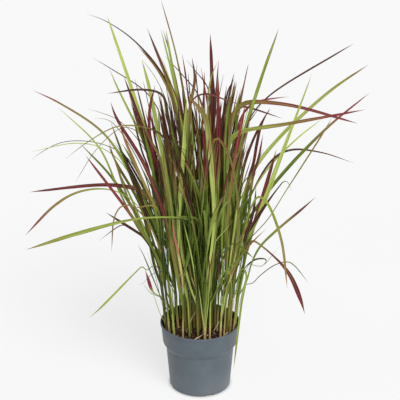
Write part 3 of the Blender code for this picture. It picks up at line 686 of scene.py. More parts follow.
# Where the photographing camera stands (m), how far it looks down, and its focal
# length and the picture's middle in picture dots, which place a leaf by its dot.
CAMERA_PLACE = (0.0, -2.5, 1.5)
CAMERA_DIP = math.radians(23.15)
FOCAL_DOTS = 1321.0
PICTURE_MIDDLE = 200.0
# A traced leaf stands this many times further forward than its stem, and leans
# out by this much more for each metre above the level.
NEARER = 1.35
LEAN = 2.0
LEAN_LEVEL = 0.2
# Single leaves of the inner clump: coat, width, how far forward their stem
# stands (mm), and where they are seen, in picture dots, from the tip down.
SEEN_LEAVES = {
    "tall_wine": ("wine", 3.2, -30, (151, 38), (158, 55.5), (164, 69), (172.5, 87), (178, 104)),
    "brown_spear": (
        "bronze", 8, -35, (192, 57), (195, 78), (193.5, 90), (190.5, 105), (189.5, 128),
    ),
    "thin_green": ("green tipped", 4, -20, (197, 62), (196, 75), (197.5, 95), (199, 115)),
    "thin_dark": ("dark wine", 3, -40, (186.8, 60), (195.2, 70.6), (207.5, 87), (210, 110)),
    "dark_left": (
        "dark wine", 7, -45, (157.7, 89.7), (162.3, 109), (167, 130), (173, 148), (178, 165),
    ),
    "green_left": (
        "green", 7, -35, (162.3, 89.7), (164.5, 103), (168, 118), (172, 133), (176, 150),
    ),
    "dark_middle": ("dark wine", 5, -40, (178.4, 100), (178.6, 124), (180, 150)),
    "dark_slim": ("dark wine", 5, -30, (168.5, 93.6), (170, 109), (173, 128), (177, 145)),
    "salmon_left": (
        "brown pink", 7.5, -50, (119, 124), (126.5, 144), (133.5, 160), (140.5, 176), (147.5, 191),
        (154, 205),
    ),
    "dark_outer": (
        "dark wine", 5, -40, (133.3, 113.5), (135, 124), (138.5, 138), (143, 154), (148.5, 168),
    ),
    "olive_broad": (
        "olive", 10, -52, (138, 122.5), (144.5, 129.5), (153, 143), (160.5, 158), (165, 180),
        (170, 212),
    ),
    "lime_slim": ("lime", 5, -30, (157.7, 105), (159.2, 124), (160, 147), (164, 168)),
    "wine_slim": ("wine", 5, -30, (150.9, 118), (153.2, 132), (156.5, 147), (160, 160)),
    "crimson_middle": ("crimson", 6, -45, (202, 117), (203.6, 132), (204.5, 160), (205, 180)),
    "deep_middle": ("deep green", 5, -35, (199.8, 113), (200, 132), (201.5, 150), (202.5, 175)),
    "dark_right": (
        "dark wine", 5, -35, (227, 85), (225, 97), (223.2, 116.5), (221.8, 132), (220.5, 155),
    ),
    "bronze_front": ("bronze", 8, -54, (217, 138), (214.5, 153), (213.8, 170), (213, 190)),
    "bronze_beside": ("bronze", 7, -48, (220, 140), (219.5, 158), (218, 180)),
    "wine_right": ("wine", 6, -40, (228.5, 108), (227.8, 124), (227, 141), (225.5, 165)),
    "bronze_right": ("bronze", 6, -40, (231.6, 105), (230, 124), (228.6, 147), (226.5, 170)),
    "dark_fan": ("wine", 8, -20, (270, 108), (261.5, 124), (257, 143), (253.5, 163), (248, 182)),
    "wine_fan": ("wine", 7, -30, (263, 134), (260.7, 147), (258, 160), (253, 176)),
    "grey_fan": ("dark wine", 3, 0, (261.5, 104.3), (253, 116.5), (246.2, 125.7), (240, 140)),
    "brown_outer": (
        "dark wine", 8, -40, (121.7, 150), (129, 168), (136, 184), (141, 198), (148, 225),
    ),
    "green_broad": (
        "green", 8, -42, (143, 130), (149, 152), (152.5, 168), (155, 192), (159.5, 222),
    ),
    "brown_inner": ("dark wine", 6, -38, (156.6, 150), (158, 167), (161, 184), (164, 200)),
    "lime_outer": ("lime", 7, -25, (115.3, 164.4), (123, 180), (132, 199), (140, 218), (147, 235)),
    "small_brown": (
        "bronze", 4.5, -56, (128.3, 210.5), (134, 208), (141.3, 207), (149, 205.5), (156, 207),
    ),
    "pale_lime": (
        "lime", 4, -50, (181.5, 183), (180.3, 195), (179.8, 210), (179, 235), (178.5, 250),
    ),
    "lime_lean": ("lime", 3.2, -56, (183, 220), (187.2, 237), (190.3, 250), (193.5, 268)),
    "dark_drop": (
        "dark wine", 8, -35, (256, 187), (254.8, 200), (252, 216), (247, 232), (243, 250),
    ),
    "orange_right": (
        "brown pink", 4.5, -46, (250.5, 218), (243.7, 233), (236.8, 245), (231.5, 262),
        (226.5, 280),
    ),
    "lime_right": (
        "lime", 5, -48, (239.3, 198), (236.8, 212), (234.2, 232), (231.5, 250), (229, 268),
    ),
    "lime_thread": ("lime", 2.4, -50, (232.5, 221), (224.5, 231), (216, 241), (213, 256)),
    "red_thread": (
        "dark wine", 1.5, -60, (202.5, 164), (188, 153), (176.5, 144.5), (168, 141), (163.5, 150),
        (165, 175),
    ),
    "low_green": ("green", 5, -25, (137.6, 244), (144, 255.5), (151.5, 273.5), (161, 297)),
    "grey_tendril": (
        "grey green", 1.6, -30, (138.4, 284.5), (143.5, 283), (147, 278.7), (152, 274.5),
        (161, 271),
    ),
    "low_stalk": ("lime", 2.2, -20, (151.5, 289), (153.7, 295), (157, 305), (160.2, 314)),
    "low_tendril": ("grey green", 1.6, -35, (141.5, 282), (145, 286), (150.8, 293), (160, 297)),
    "short_wine": ("wine", 5, -58, (209, 254), (209, 259), (209.3, 265), (209.5, 275)),
    "short_brown": ("dark wine", 7, -55, (218.5, 246), (218.8, 254), (219, 263), (219, 275)),
    "front_lime": ("lime", 2.6, -62, (211, 262), (209.6, 285), (207.3, 314)),
    "front_lean": ("lime", 2.6, -62, (198.5, 285), (200, 297), (202.5, 317)),
    "dark_tall": ("dark wine", 5, -25, (213.2, 72), (214, 86), (214.8, 101), (214.5, 120)),
    "olive_tall": (
        "olive lime", 5, -45, (217.5, 62), (212.4, 73), (209.2, 86), (207.9, 99), (207, 125),
    ),
    "green_right": (
        "green", 6.5, -45, (236, 82), (233.2, 91.6), (229.2, 102), (227, 118), (225, 140),
    ),
    "green_beside": (
        "olive lime", 5, -40, (241, 89), (238, 100.4), (234, 115), (230.5, 130), (228, 150),
    ),
    "deep_left": ("deep green", 8, -45, (159, 168), (161, 227), (164, 264), (167, 300)),
    "tan_right": ("olive", 5, -52, (229.7, 228), (228.2, 247), (226.5, 270)),
    "yellow_right": ("lime", 3, -50, (241.9, 240.7), (237.3, 249), (232.7, 265)),
    "tan_middle": ("brown pink", 4, -50, (216, 183.6), (216.7, 199), (217, 215)),
    "dark_red": ("wine", 4, -45, (206.8, 197), (206, 210), (205, 225)),
    "grey_thread": ("grey green", 1.6, -20, (147, 252), (155, 275), (161, 300)),
    "brown_arch": (
        "olive to wine", 4.5, -48, (243, 105.5), (232, 102), (219, 97.5), (211, 94.5), (203, 94),
        (196, 96.5), (191, 102), (188, 115),
    ),
    "olive_arch": (
        "olive", 6, -56, (236, 180), (232, 166), (226, 150), (221, 141), (217, 138), (214, 141),
        (213, 155),
    ),
    "olive_far": (
        "olive", 6, -30, (109, 141), (112, 152), (117, 165), (122, 181), (128, 198), (136, 216),
    ),
    "olive_back": (
        "olive", 6, -20, (160, 93), (162.5, 108), (166.5, 128), (170.5, 150), (173, 172),
    ),
    "dark_back": ("dark wine", 5, -20, (169.5, 96), (171.5, 108), (173.5, 124), (176, 146)),
    "brown_short": (
        "olive to brown", 6, -35, (190, 99), (193.5, 104), (196, 115), (198, 132), (200, 150),
    ),
    "grey_beside": ("grey green", 1.6, -20, (153, 255), (160, 285), (163, 305)),
}
# The same for leaves that die back: red at the tip, then tan, then straw.
DYING_LEAVES = {
    "dying_red": (
        "salmon", 6, -58, (172, 217), (173.8, 234), (177.7, 251), (180.2, 265), (182.3, 281),
    ),
    "dying_tan": ("salmon", 5, -50, (239.5, 255), (236.5, 263), (233, 272), (229.5, 281)),
    "dying_curl": (
        "bronze", 3.5, -58, (184.5, 268), (186, 265.5), (188.3, 264.7), (190, 267.5), (190.6, 273),
    ),
    "pale_straw": ("lime", 4, -58, (227.5, 285), (225.5, 294), (223.8, 306)),
    "pale_curl": ("lime", 2.5, -58, (222.5, 270), (226, 270.5), (229.5, 273), (231, 280)),
}


def leaf_strip(across, steps):
    """A flat strip to lay along a leaf's line: a grid given its thickness."""
    bpy.ops.mesh.primitive_grid_add(x_subdivisions=across, y_subdivisions=steps, size=1)
    strip = bpy.context.object
    bpy.ops.object.mode_set(mode="EDIT")
    bpy.ops.transform.translate(value=(0, 0.5, 0))
    bpy.ops.object.mode_set(mode="OBJECT")
    thick = strip.modifiers.new("thickness", "SOLIDIFY")
    thick.thickness = 0.01
    thick.offset = 0
    bpy.ops.object.modifier_apply(modifier="thickness")
    arrays = flat_arrays(strip)
    bpy.data.objects.remove(strip)
    return arrays


broad_strip = leaf_strip(4, LEAF_STEPS)
thin_strip = leaf_strip(2, THIN_STEPS)

bpy.ops.mesh.primitive_circle_add(vertices=10, radius=1)
tube = bpy.context.object
bpy.ops.object.mode_set(mode="EDIT")
bpy.ops.mesh.select_mode(type="EDGE")
bpy.ops.mesh.edge_face_add()
bpy.ops.mesh.select_all(action="SELECT")
for _ in range(STEM_STEPS):
    bpy.ops.mesh.extrude_region_move(TRANSFORM_OT_translate={"value": (0, 0, 1 / STEM_STEPS)})
face_outwards()
stem_tube = flat_arrays(tube)
bpy.data.objects.remove(tube)


def read_rows(at, places, rows):
    """Points or directions read off at these places, between the given ones."""
    columns = np.array([tuple(row) for row in rows]).T
    return np.stack([np.interp(at, places, column) for column in columns], axis=1)


def even_line(points, count):
    """A smooth line through the points at even steps, and how far along each point is."""
    points = np.asarray(points, float)
    gaps = np.sqrt(np.linalg.norm(np.diff(points, axis=0), axis=1))
    knots = np.concatenate(([0.0], np.cumsum(gaps)))
    slopes = np.gradient(points, knots, axis=0)
    fine = np.linspace(0, knots[-1], 40 * len(points))
    span = np.clip(np.searchsorted(knots, fine, side="right") - 1, 0, len(points) - 2)
    width = (knots[span + 1] - knots[span])[:, None]
    t = (fine - knots[span])[:, None] / width
    line = (2 * t**3 - 3 * t**2 + 1) * points[span] + (t**3 - 2 * t**2 + t) * width * slopes[span]
    line += (3 * t**2 - 2 * t**3) * points[span + 1] + (t**3 - t**2) * width * slopes[span + 1]
    run = np.concatenate(([0.0], np.cumsum(np.linalg.norm(np.diff(line, axis=0), axis=1))))
    even = np.linspace(0, run[-1], count)
    return read_rows(even, run, line), even, np.interp(knots, fine, run)


def unit(vectors):
    """The same directions, one long."""
    return vectors / np.maximum(np.linalg.norm(vectors, axis=-1, keepdims=True), 1e-12)


def smooth_share(share, start, full):
    """Rises smoothly from 0 at the start to 1 where it is full."""
    t = np.clip((share - start) / (full - start), 0, 1)
    return t * t * (3 - 2 * t)


# How far a blade's halves fold up at its base and beyond it, and further at its
# tip (radians), and over what length the base opens (m).
LEAF_FOLD = (1.15, 0.48)
TIP_FOLD = 0.35
FOLD_LENGTH = 0.05
# How much the halves bow, and how far their edges wave, as shares of the width,
# and how long those waves are (m).
LEAF_BOW = 0.6
EDGE_WAVE = 0.1
WAVE_LENGTHS = (0.045, 0.09)
# The share of its length over which a blade widens from its neck, the length
# over which it narrows to its tip, and the narrowest it gets (m).
NECK = 0.12
TIP_LENGTH = 0.06
NARROWEST = 0.0004


def lay_leaf(
    strip,
    line,
    facing,
    widths,
    coat,
    luck,
    fold=LEAF_FOLD,
    point=TIP_LENGTH,
    dry=0.0,
    red_from=-1.0,
):
    """A leaf blade: the strip folded, bent and narrowed along its line (metres)."""
    points, corners, sizes = strip
    shade, depth, turned = coat
    rows = len(line)
    row = np.rint(points[:, 1] * (rows - 1)).astype(int)
    share = np.linspace(0, 1, rows)
    ahead = unit(np.gradient(line, axis=0))
    facing = unit(facing - (facing * ahead).sum(1)[:, None] * ahead)
    aside = np.cross(facing, ahead)
    length = np.linalg.norm(np.diff(line, axis=0), axis=1).sum()
    wide = np.interp(share, np.linspace(0, 1, len(widths)), widths) * MM
    wide = np.convolve(np.pad(wide, 3, "edge"), np.ones(7) / 7, "valid")
    from_tip = np.clip((1 - share) * length / min(point, 0.4 * length), 0, 1)
    wide *= (0.5 + 0.5 * smooth_share(share, 0, NECK)) * (1 - (1 - from_tip) ** 2)
    wide = np.maximum(wide, NARROWEST)
    folded = fold[1] + (fold[0] - fold[1]) * np.exp(-share * length / FOLD_LENGTH)
    folded += TIP_FOLD * share**6
    wave = luck.uniform(0, math.tau) + share * length / luck.uniform(*WAVE_LENGTHS) * math.tau
    u = points[:, 0]
    lift = np.abs(u) - LEAF_BOW * u * u
    out = u * wide[row] * np.cos(folded[row])
    up = lift * wide[row] * np.sin(folded[row]) * 1.15
    up += wide[row] * EDGE_WAVE * np.sin(wave[row]) * u
    thick = np.sign(points[:, 2]) * LEAF_THICK * MM / 2 * (1.25 - 1.6 * np.abs(u))
    thick *= np.clip(1.2 - share[row], 0.35, 1)
    place = line[row] + aside[row] * out[:, None] + facing[row] * (up + thick)[:, None]
    blush = np.interp(share, np.linspace(0, 1, len(turned)), turned)[row]
    blush = blush * (0.92 + 0.4 * np.abs(u)) * smooth_share(
        place[:, 2], red_from - 0.07, red_from + 0.04
    )
    dry = np.broadcast_to(dry, rows)[row]
    dry_tip = luck.choice((0, 0, 0.9)) * smooth_share(share[row], 0.985, 1.0)
    marks = {
        "shade": shade + 0.10 * (points[:, 2] > 0),
        "depth": np.full(len(u), depth),
        "blush": blush,
        "straw": np.maximum(dry, dry_tip),
        "across": u * wide[row],
        "along": share[row] * length + luck.uniform(0, 3),
    }
    return place, corners, sizes, marks


def lay_stem(axis, collars, foot, neck, luck):
    """A stem: the tube drawn along its axis, a little thicker below each collar."""
    points, corners, sizes = stem_tube
    row = np.rint(points[:, 2] * STEM_STEPS).astype(int)
    share = np.linspace(0, 1, STEM_STEPS + 1)
    ahead = unit(np.gradient(axis, axis=0))
    turn = foot * OVAL_TURN
    aside = unit(np.cross(ahead, (math.cos(turn), math.sin(turn), 0)))
    facing = np.cross(ahead, aside)
    radius = foot + (neck - foot) * share
    for collar in collars:
        radius = radius + SHEATH_STEP * MM * smooth_share(collar - share, -0.005, COLLAR_RUN)
        bead = np.exp(-(((share - collar + COLLAR_RUN / 2) / COLLAR_RUN) ** 2))
        radius = radius + COLLAR_BEAD * MM * bead
    radius = radius * np.clip((1.015 - share) / 0.06, 0.15, 1)
    out = points[:, 0] * radius[row] * STEM_OVAL[0]
    up = points[:, 1] * radius[row] * STEM_OVAL[1]
    place = axis[row] + aside[row] * out[:, None] + facing[row] * up[:, None]
    rise = axis[row][:, 2] - SOIL_LEVEL * MM
    marks = {
        "shade": np.clip(luck.uniform(0.1, 0.6) + 1.2 * rise, 0, 1),
        "depth": np.full(len(rise), 0.45),
        "blush": luck.uniform(0.06, 0.42) * (1 - smooth_share(rise, 0.03, 0.26)),
        "straw": luck.choice((0, 0.2, 0.3, 0.4, 0.7))
        * (1 - smooth_share(rise, 0.005, luck.uniform(0.04, 0.15))),
        "across": np.arctan2(points[:, 1], points[:, 0]) * radius[row],
        "along": share[row] * 0.15 + luck.uniform(0, 3),
    }
    return place, corners, sizes, marks


# How the solids are read (mm): points this close are one, points of a ring are
# this level, a stem's ring lies this near the middle, and a leaf's ring shows
# its facing when it is this broad. A point sharper than this is a leaf's tip.
MERGED = 0.02
LEVEL = 0.002
STEM_REACH = 80
BROAD_ENOUGH = 1.7
TIP_ANGLE = math.radians(60)


def level_ring(verts):
    """The lowest four points of these that lie at one height, as a stem's ring does."""
    rising = sorted(verts, key=lambda vert: vert.co.z)
    runs = [rising[i : i + 4] for i in range(len(rising) - 3)]
    level = [run for run in runs if run[3].co.z - run[0].co.z < LEVEL * MM]
    return set(level[0]) if level else set()


def next_to(ring, seen):
    """The points that edges join to this ring, but for those already seen."""
    return {edge.other_vert(vert) for vert in ring for edge in vert.link_edges} - seen


def shoot_form(node):
    """The solid's stem axis, and its leaves: joint, centres, facings and widths."""
    solid = bmesh.new()
    solid.from_mesh(node.data)
    bmesh.ops.remove_doubles(solid, verts=solid.verts, dist=MERGED * MM)
    ring = {
        vert
        for vert in solid.verts
        if abs(vert.co.z / MM - FOOT_LEVEL) < 0.1 and vert.co.xy.length < STEM_REACH * MM
    }
    axis, seen = [], set()
    while ring:
        axis.append(sum((vert.co for vert in ring), Vector()) / 4)
        seen |= ring
        ring = level_ring(next_to(ring, seen))
    leaves = []
    for tip in solid.verts:
        if tip in seen or sum(loop.calc_angle() for loop in tip.link_loops) > TIP_ANGLE:
            continue
        rings, passed, ring = [], {tip}, next_to({tip}, {tip})
        while not ring & seen:
            rings.append(ring)
            passed |= ring
            ring = next_to(ring, passed)
        touched = ring & seen
        joint = sum((vert.co for vert in touched), Vector()) / len(touched)
        centres, facings, widths = [], [], []
        for ring in reversed(rings):
            sides = {edge for vert in ring for edge in vert.link_edges}
            sides = [edge for edge in sides if set(edge.verts) <= ring]
            front = max(sides, key=lambda edge: edge.calc_length())
            front_middle = (front.verts[0].co + front.verts[1].co) / 2
            back = [vert.co for vert in ring if vert not in front.verts]
            back_middle = (back[0] + back[1]) / 2
            centres.append((front_middle + back_middle) / 2)
            widths.append(front.calc_length())
            if widths[-1] > BROAD_ENOUGH * MM or not facings:
                facings.append((front_middle - back_middle).normalized())
            else:
                facings.append(facings[-1])
        leaves.append((joint, centres, facings, widths, tip.co.copy()))
    solid.free()
    leaves.sort(key=lambda leaf: leaf[0].z)
    return axis, leaves


def pick(choices, luck):
    """A coat's name drawn from these, by how often each is taken."""
    return luck.choices(list(choices), list(choices.values()))[0]


# Grass leaf, IOR 1.45 and half dull: green skin with lengthwise veins (1.8 mm
# apart, drawn coarser than the real 0.3 mm), turning in fine lengthwise streaks
# through bronze to wine red, and drying to straw. The marks on the mesh say how
# green, red and dry it is.
GREENS = ((0.0, "#B9C66A"), (0.35, "#82963A"), (0.65, "#425613"), (1.0, "#192605"))
REDS = ((0.0, "#A86A5A"), (0.3, "#8A303E"), (0.62, "#5D2628"), (1.0, "#331611"))
BRONZES = ((0.25, "#8F8B4C"), (0.55, "#806A36"), (0.8, "#70492F"))
STRAWS = ((0.3, "#D2C48C"), (0.55, "#B79A62"), (0.8, "#8A6242"))
MIDRIB = "#A8B070"
VEIN_SPACING = 1.8
# The streaks' width and length (mm).
SLIM_STREAK = (1.7, 60)
BROAD_STREAK = (2.4, 22)


def streaked(material, flat, wide, long):
    """Noise drawn out lengthwise, in streaks of this width and length (mm)."""
    scale = {"Scale": (1 / (wide * MM), 1 / (long * MM), 1)}
    stretched = add_node(material, "Mapping", values=scale, Vector=flat)
    return noise_of(material, stretched, 1 / MM, 3.0)


def leaf_material(name):
    """Grass leaf, coloured by the marks on its mesh."""
    leaf, shader = new_material(name, Metallic=0, IOR=1.45, Specular_IOR_Level=0.16)
    marks = {mark: mark_value(leaf, mark) for mark in LEAF_MARKS}
    flat = add_node(leaf, "CombineXYZ", X=marks["across"], Y=marks["along"])
    slim_streak = streaked(leaf, flat, *SLIM_STREAK)
    broad_streak = streaked(leaf, flat, *BROAD_STREAK)

    def stirred(value, streak, amount):
        """The mark's value, stirred by the streaks."""
        centred = add_node(leaf, "Math", 0, {"operation": "SUBTRACT"}, {1: 0.5}, i0=streak)
        return add_share(leaf, value, amount, centred)

    def rising(value, low, high, top=1.0):
        """A share that rises smoothly between two values."""
        return ranged(leaf, value, low, high, 0.0, top, "SMOOTHSTEP")

    green = ramp(leaf, stirred(marks["shade"], slim_streak, 0.8), *GREENS)
    red = ramp(leaf, stirred(marks["depth"], broad_streak, 0.4), *REDS)
    bronze = ramp(leaf, slim_streak, *BRONZES)
    blush = stirred(marks["blush"], slim_streak, 0.45)
    turning = mixed(leaf, rising(blush, 0.10, 0.50), green, bronze)
    coloured = mixed(leaf, rising(blush, 0.42, 0.80), turning, red)
    dryness = stirred(marks["straw"], broad_streak, 0.5)
    dry = ramp(leaf, broad_streak, *STRAWS)
    dried = mixed(leaf, rising(dryness, 0.25, 0.75), coloured, dry)
    off_middle = add_node(leaf, "Math", 0, {"operation": "ABSOLUTE"}, i0=marks["across"])
    near_middle = rising(off_middle, 0.55 * MM, 0.15 * MM, 0.22)
    link(shader, Base_Color=mixed(leaf, near_middle, dried, MIDRIB))
    link(shader, Roughness=ranged(leaf, broad_streak, 0.3, 0.7, 0.40, 0.60, "SMOOTHSTEP"))
    # The wave texture draws a band every tau / 20 of its own lengths.
    wave = {"Scale": math.tau / 20 / (VEIN_SPACING * MM), "Distortion": 0.4}
    veins = add_node(leaf, "TexWave", "Fac", values=wave, Vector=flat)
    roughen(leaf, shader, veins, 0.25, 0.08)
    return leaf


leaf_materials = {
    kind + "_leaf": leaf_material(kind + " grass leaf") for kind in ("lime", "olive", "wine")
}
shoot_slots = {row["node"]: row["material_slot"] for row in frame["record"]["subparts"]}


def clump_reach(line):
    """How much room these places have to the edge of the close inner clump (metres)."""
    levels, radii, leans = (np.array(column) * MM for column in zip(*CLUMP))
    middle = np.interp(line[:, 2], levels, leans)
    edge = np.interp(line[:, 2], levels, radii)
    return edge - np.hypot(line[:, 0] - middle, line[:, 1])


def seen_at(dot, forward):
    """The place of a leaf seen at this dot, on a stem that stands this far forward."""
    side, rise = dot[0] - PICTURE_MIDDLE, PICTURE_MIDDLE - dot[1]
    up = (0.0, math.sin(CAMERA_DIP), math.cos(CAMERA_DIP))
    ahead = (0.0, math.cos(CAMERA_DIP), -math.sin(CAMERA_DIP))
    ray = np.array((side, *(FOCAL_DOTS * a + rise * u for a, u in zip(ahead[1:], up[1:]))))
    place, depth = np.zeros(3), forward
    for _ in range(6):
        place = np.array(CAMERA_PLACE) + ray * (depth - CAMERA_PLACE[1]) / ray[1]
        depth = forward * (1 + max(0.0, place[2] - LEAN_LEVEL) * LEAN)
    return place


def thin_leaves(whole, luck):
    """The thinner leaves that stand along a whole leaf's line, inside the close clump."""
    outside = clump_reach(whole) < 0
    outside[:ROOTED_ROWS] = False
    inner = int(np.argmax(outside)) if outside.any() else len(whole)
    tall = round(THIN_LEAVES * (inner / len(whole)) ** 1.5 + luck.random() * 0.8)
    span = np.linspace(0, 1, len(whole))[:, None]
    made = []
    for number in range(tall + LOW_LEAVES):
        low = number >= tall
        turn = luck.uniform(0, math.tau)
        away = np.array((math.cos(turn), math.sin(turn), 0))
        across = np.array((-away[1], away[0], 0))
        shift = luck.uniform(*THIN_OFF) * MM + luck.uniform(*THIN_SPREAD) * MM * span**1.2
        bend = luck.uniform(*THIN_BOW) * MM * np.sin(span * math.pi * luck.uniform(0.8, 1.5))
        path = whole + (away * shift + across * bend) * (1 - np.exp(-span * 6))
        room = clump_reach(path) + luck.uniform(*EDGE_LUCK) * MM
        begin = int(luck.uniform(*(LOW_START if low else HIGH_START)) * len(path))
        outside = np.nonzero(room < 0)[0]
        outside = outside[outside > begin + 8]
        end = int(luck.uniform(*HIGH_END) * len(path))
        if low:
            end = int(np.searchsorted(path[:, 2], luck.uniform(*LOW_END)))
        end = min(end, outside[0]) if len(outside) else end
        if end - begin < THIN_LEAST:
            continue
        line, _, _ = even_line(path[begin:end:3], THIN_STEPS + 1)
        turns = luck.gauss(-math.pi / 2, 0.9)
        turns = turns + luck.uniform(-0.7, 0.7) * np.linspace(0, 1, THIN_STEPS + 1)
        facing = np.stack([np.cos(turns), np.sin(turns), np.full(len(turns), 0.2)], axis=1)
        high = not low and line[-1][2] > luck.uniform(*HIGH_COATS_FROM)
        coat = COATS[pick(INNER_COATS if high else LOW_COATS, luck)]
        coat = (coat[0] + luck.uniform(-0.2, 0.3), *coat[1:])
        width = luck.uniform(*(LOW_WIDTH if low else HIGH_WIDTH))
        widths = [width * share for share in THIN_SHAPE]
        red_from = luck.uniform(*THIN_RED_FROM)
        made.append(
            lay_leaf(thin_strip, line, facing, widths, coat, luck, point=0.04, red_from=red_from)
        )
    return made


shoot_names = [name for name in sorted(frame["nodes"]) if name.startswith("shoot")]
shoot_forms = {name: shoot_form(frame["nodes"][name]) for name in shoot_names}
stem_lines = {
    name: even_line([tuple(point) for point in form[0]], STEM_STEPS + 1)[0]
    for name, form in shoot_forms.items()
}
# A seen leaf grows from a stem at least this far below it (m), with the least
# turn, drop and step aside, which weigh as stated.
JOINT_DROP = 0.012
TURN_WEIGHT = 0.6
DROP_WEIGHT = 3
ASIDE_WEIGHT = 8


def stem_under(foot, run):
    """The stem that stands best under a leaf's foot, and the row on it to grow from."""
    best = None
    for name, stem in stem_lines.items():
        for step in range(4, STEM_STEPS - 1):
            gap = foot - stem[step]
            drop = np.linalg.norm(gap)
            if stem[step][2] > foot[2] - JOINT_DROP:
                continue
            turn = np.linalg.norm(np.cross(gap / drop, run)) + (gap @ run > 0) * 2
            aside = abs(stem[step][0] - foot[0])
            cost = turn * TURN_WEIGHT + drop * DROP_WEIGHT + aside * ASIDE_WEIGHT
            if best is None or cost < best[0]:
                best = (cost, name, step)
    return best[1:]


grown = {name: [] for name in shoot_names}
for table, dead in ((SEEN_LEAVES, 0.0), (DYING_LEAVES, 1.0)):
    for coat, width, forward, *dots in table.values():
        route = [seen_at(dot, NEARER * forward * MM) for dot in dots]
        name, step = stem_under(route[-1], unit(route[-1] - route[-2]))
        stem = stem_lines[name]
        line = [stem[max(step - 4, 0)], stem[step], *reversed(route)]
        grown[name].append((line, width, COATS[coat], dead, route[-1][2]))

for name in shoot_names:
    luck = random.Random(name)
    axis, leaves = shoot_forms[name]
    outer = name in SHOOT_LEAVES
    looks = SHOOT_LEAVES.get(name, [])
    if not outer:
        for leaf in leaves:
            broad = INNER_SHARE * max(leaf[3]) / MM
            looks.append((pick(INNER_COATS, luck), *(broad * share for share in INNER_SHAPE)))
    stem_line = stem_lines[name]
    height = stem_line[:, 2]
    collars = [np.interp(leaf[0].z, height, np.linspace(0, 1, STEM_STEPS + 1)) for leaf in leaves]
    foot = luck.uniform(*STEM_FOOT) * MM
    parts = [lay_stem(stem_line, collars[:-1], foot, STEM_NECK * MM, luck)]
    for leaf, (coat_name, *widths) in zip(leaves, looks):
        joint, centres, facings, _, tip = leaf
        levels = (joint.z - LEAF_ROOT * MM, joint.z)
        start, end = np.interp(levels, height, range(STEM_STEPS + 1))
        base = read_rows((start, end), range(STEM_STEPS + 1), stem_line)
        kept = [
            index
            for index, centre in enumerate(centres)
            if (centre - joint).length > LEAF_FREE * MM
        ] or [len(centres) - 1]
        points = [*base, *(tuple(centres[index]) for index in kept), tuple(tip)]
        faces = [facings[kept[0]]] * 2 + [facings[index] for index in kept] + [facings[kept[-1]]]
        line, even, places = even_line(points, LEAF_STEPS + 1)
        facing = read_rows(even, places, faces)
        if outer:
            widths = [OUTER_SHARE * width for width in widths]
            toward = unit(np.array(CAMERA_PLACE) - line)
            side = 1 if (facing * toward).sum() > 0 else -1
            facing = side * facing + TOWARD_VIEW * toward
        shade, depth, turned = COATS[coat_name]
        coat = (shade + luck.uniform(-0.1, 0.1), depth + luck.uniform(-0.15, 0.15), turned)
        red_from = -1.0 if outer else luck.uniform(*RED_FROM)
        parts.append(
            lay_leaf(broad_strip, line, facing, widths, coat, luck, point=0.05, red_from=red_from)
        )
        rooted = np.concatenate((stem_line[: int(start) + 1 : 6], line[2::4]))
        whole, _, _ = even_line(rooted, THIN_ROWS)
        parts += thin_leaves(whole, luck)
    for points, width, coat, dead, red_from in grown[name]:
        line, _, _ = even_line(points, LEAF_STEPS + 1)
        look = luck.gauss(-math.pi / 2, 0.35)
        facing = np.tile((math.cos(look), math.sin(look), 0.25), (LEAF_STEPS + 1, 1))
        dry = dead * (1 - smooth_share(np.linspace(0, 1, LEAF_STEPS + 1), 0.45, 0.75))
        widths = [share * TRACED_SHARE * width for share in TRACED_SHAPE]
        parts.append(
            lay_leaf(broad_strip, line, facing, widths, coat, luck, dry=dry, red_from=red_from)
        )
    shoot = join_copies(name + "_grass", parts, LEAF_MARKS)
    slot = shoot_slots[name]
    place_piece(shoot, name + "_grass", leaf_materials[slot], slot, name)

# ---------------------------------------------------------------------------
# Dry straws
# Dead leaf strips, bleached and curled, fallen between the stems on the soil.
# ---------------------------------------------------------------------------

# Dead grass, IOR 1.45 and matt: bleached straw with grey-brown streaks along it.
straw, shader = new_material("dry dead grass", Metallic=0, IOR=1.45, Roughness=0.8)
flat = add_node(straw, "CombineXYZ", X=mark_value(straw, "across"), Y=mark_value(straw, "along"))
fibre = streaked(straw, flat, 0.6, 14)
bleached = ramp(straw, fibre, (0.30, "#A5875F"), (0.50, "#D0BA8A"), (0.70, "#E8DAB4"))
link(shader, Base_Color=bleached)
roughen(straw, shader, fibre, 0.4, 0.1)
straw_lines = {
    "dry_straw_1": ((-29, -40, 142), (-24, -37, 160), (-16, -33, 176), (-8, -30, 190)),
    "dry_straw_2": ((29, -32, 142), (34, -28, 150), (42, -22, 162)),
    "dry_straw_3": ((52, -48, 142), (60, -32, 141), (66, -12, 144)),
    "dry_straw_4": ((-12, -67, 141), (-2, -58, 142), (8, -42, 141)),
}
for name, points in straw_lines.items():
    luck = random.Random(name)
    line, _, _ = even_line(np.array(points) * MM, THIN_STEPS + 1)
    facing = np.tile((0.3, -0.5, 0.8), (THIN_STEPS + 1, 1))
    blade = lay_leaf(
        thin_strip, line, facing, (2.2,), COATS["lime"], luck, fold=(0.9, 0.7), point=0.01
    )
    piece = join_copies(name, [blade], ("across", "along"))
    place_piece(piece, name + "_strip", straw, "dry_straw", name)

# ---------------------------------------------------------------------------
# Studio
# A white table lit from below, a soft white surround and a big soft lamp, with
# the camera at the height, distance and lens fitted to the pot.
# ---------------------------------------------------------------------------

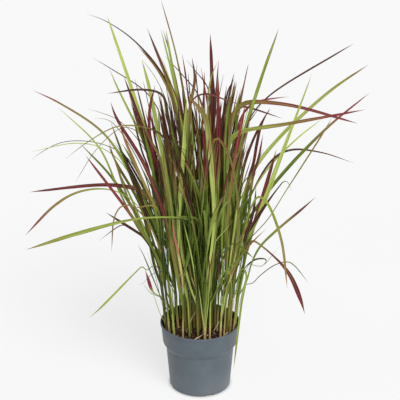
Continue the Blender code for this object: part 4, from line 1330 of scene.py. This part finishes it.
FLOOR_SIZE = 60
TABLE_GLOW = 0.735
SKY_LIGHT = 0.26
LAMP_LIGHT = 3.3
LAMP_SPREAD = math.radians(34)
LAMP_PLACE = (0.9, -1.9, 2.8)
LAMP_AIM = (0, 0, 0.35)
SENSOR_WIDTH = 36
# The table's glow is masked off round the pot's foot, a painted contact shadow that fades out
# between these radii (mm).
PAINTED_SHADOW_START = 54
PAINTED_SHADOW_END = 74

bpy.ops.mesh.primitive_plane_add(size=FLOOR_SIZE)
floor = bpy.context.object
floor.name = "studio_floor"
# Translucent white paper, matt, over a table lit evenly from below; its glow is
# masked off round the pot's foot, a painted contact shadow. The grey of the paper varies a little.
paper, shader = new_material("white studio paper", Roughness=0.9, Emission_Strength=TABLE_GLOW)
place = add_node(paper, "TexCoord", "Object")
from_pot = add_node(paper, "VectorMath", "Value", {"operation": "LENGTH"}, i0=place)
# Painted contact shadow: the glow fades to nothing round the pot's foot.
glow_with_painted_shadow = ranged(paper, from_pot, PAINTED_SHADOW_START * MM, PAINTED_SHADOW_END * MM, kind="SMOOTHSTEP")
link(shader, Emission_Color=glow_with_painted_shadow)
white = ramp(paper, noise_of(paper, place, 500, 2.0), (0.3, "#757576"), (0.7, "#777778"))
link(shader, Base_Color=white)
floor.data.materials.append(paper)

world = bpy.data.worlds.new("white studio")
bpy.context.scene.world = world
world.use_nodes = True
surround = world.node_tree.nodes["Background"]
surround.inputs["Color"].default_value = (1, 1, 1, 1)
surround.inputs["Strength"].default_value = SKY_LIGHT
# Shown as it is lit, with no film curve, as catalogue photographs are.
bpy.context.scene.view_settings.view_transform = "Standard"

bpy.ops.object.light_add(type="SUN", location=LAMP_PLACE)
lamp = bpy.context.object
lamp.data.energy = LAMP_LIGHT
lamp.data.angle = LAMP_SPREAD
lamp.rotation_euler = (Vector(LAMP_AIM) - lamp.location).to_track_quat("-Z", "Y").to_euler()

bpy.ops.object.camera_add(location=CAMERA_PLACE, rotation=(math.pi / 2 - CAMERA_DIP, 0, 0))
camera = bpy.context.object
camera.data.sensor_width = SENSOR_WIDTH
camera.data.lens = SENSOR_WIDTH * FOCAL_DOTS / (2 * PICTURE_MIDDLE)
bpy.context.scene.camera = camera
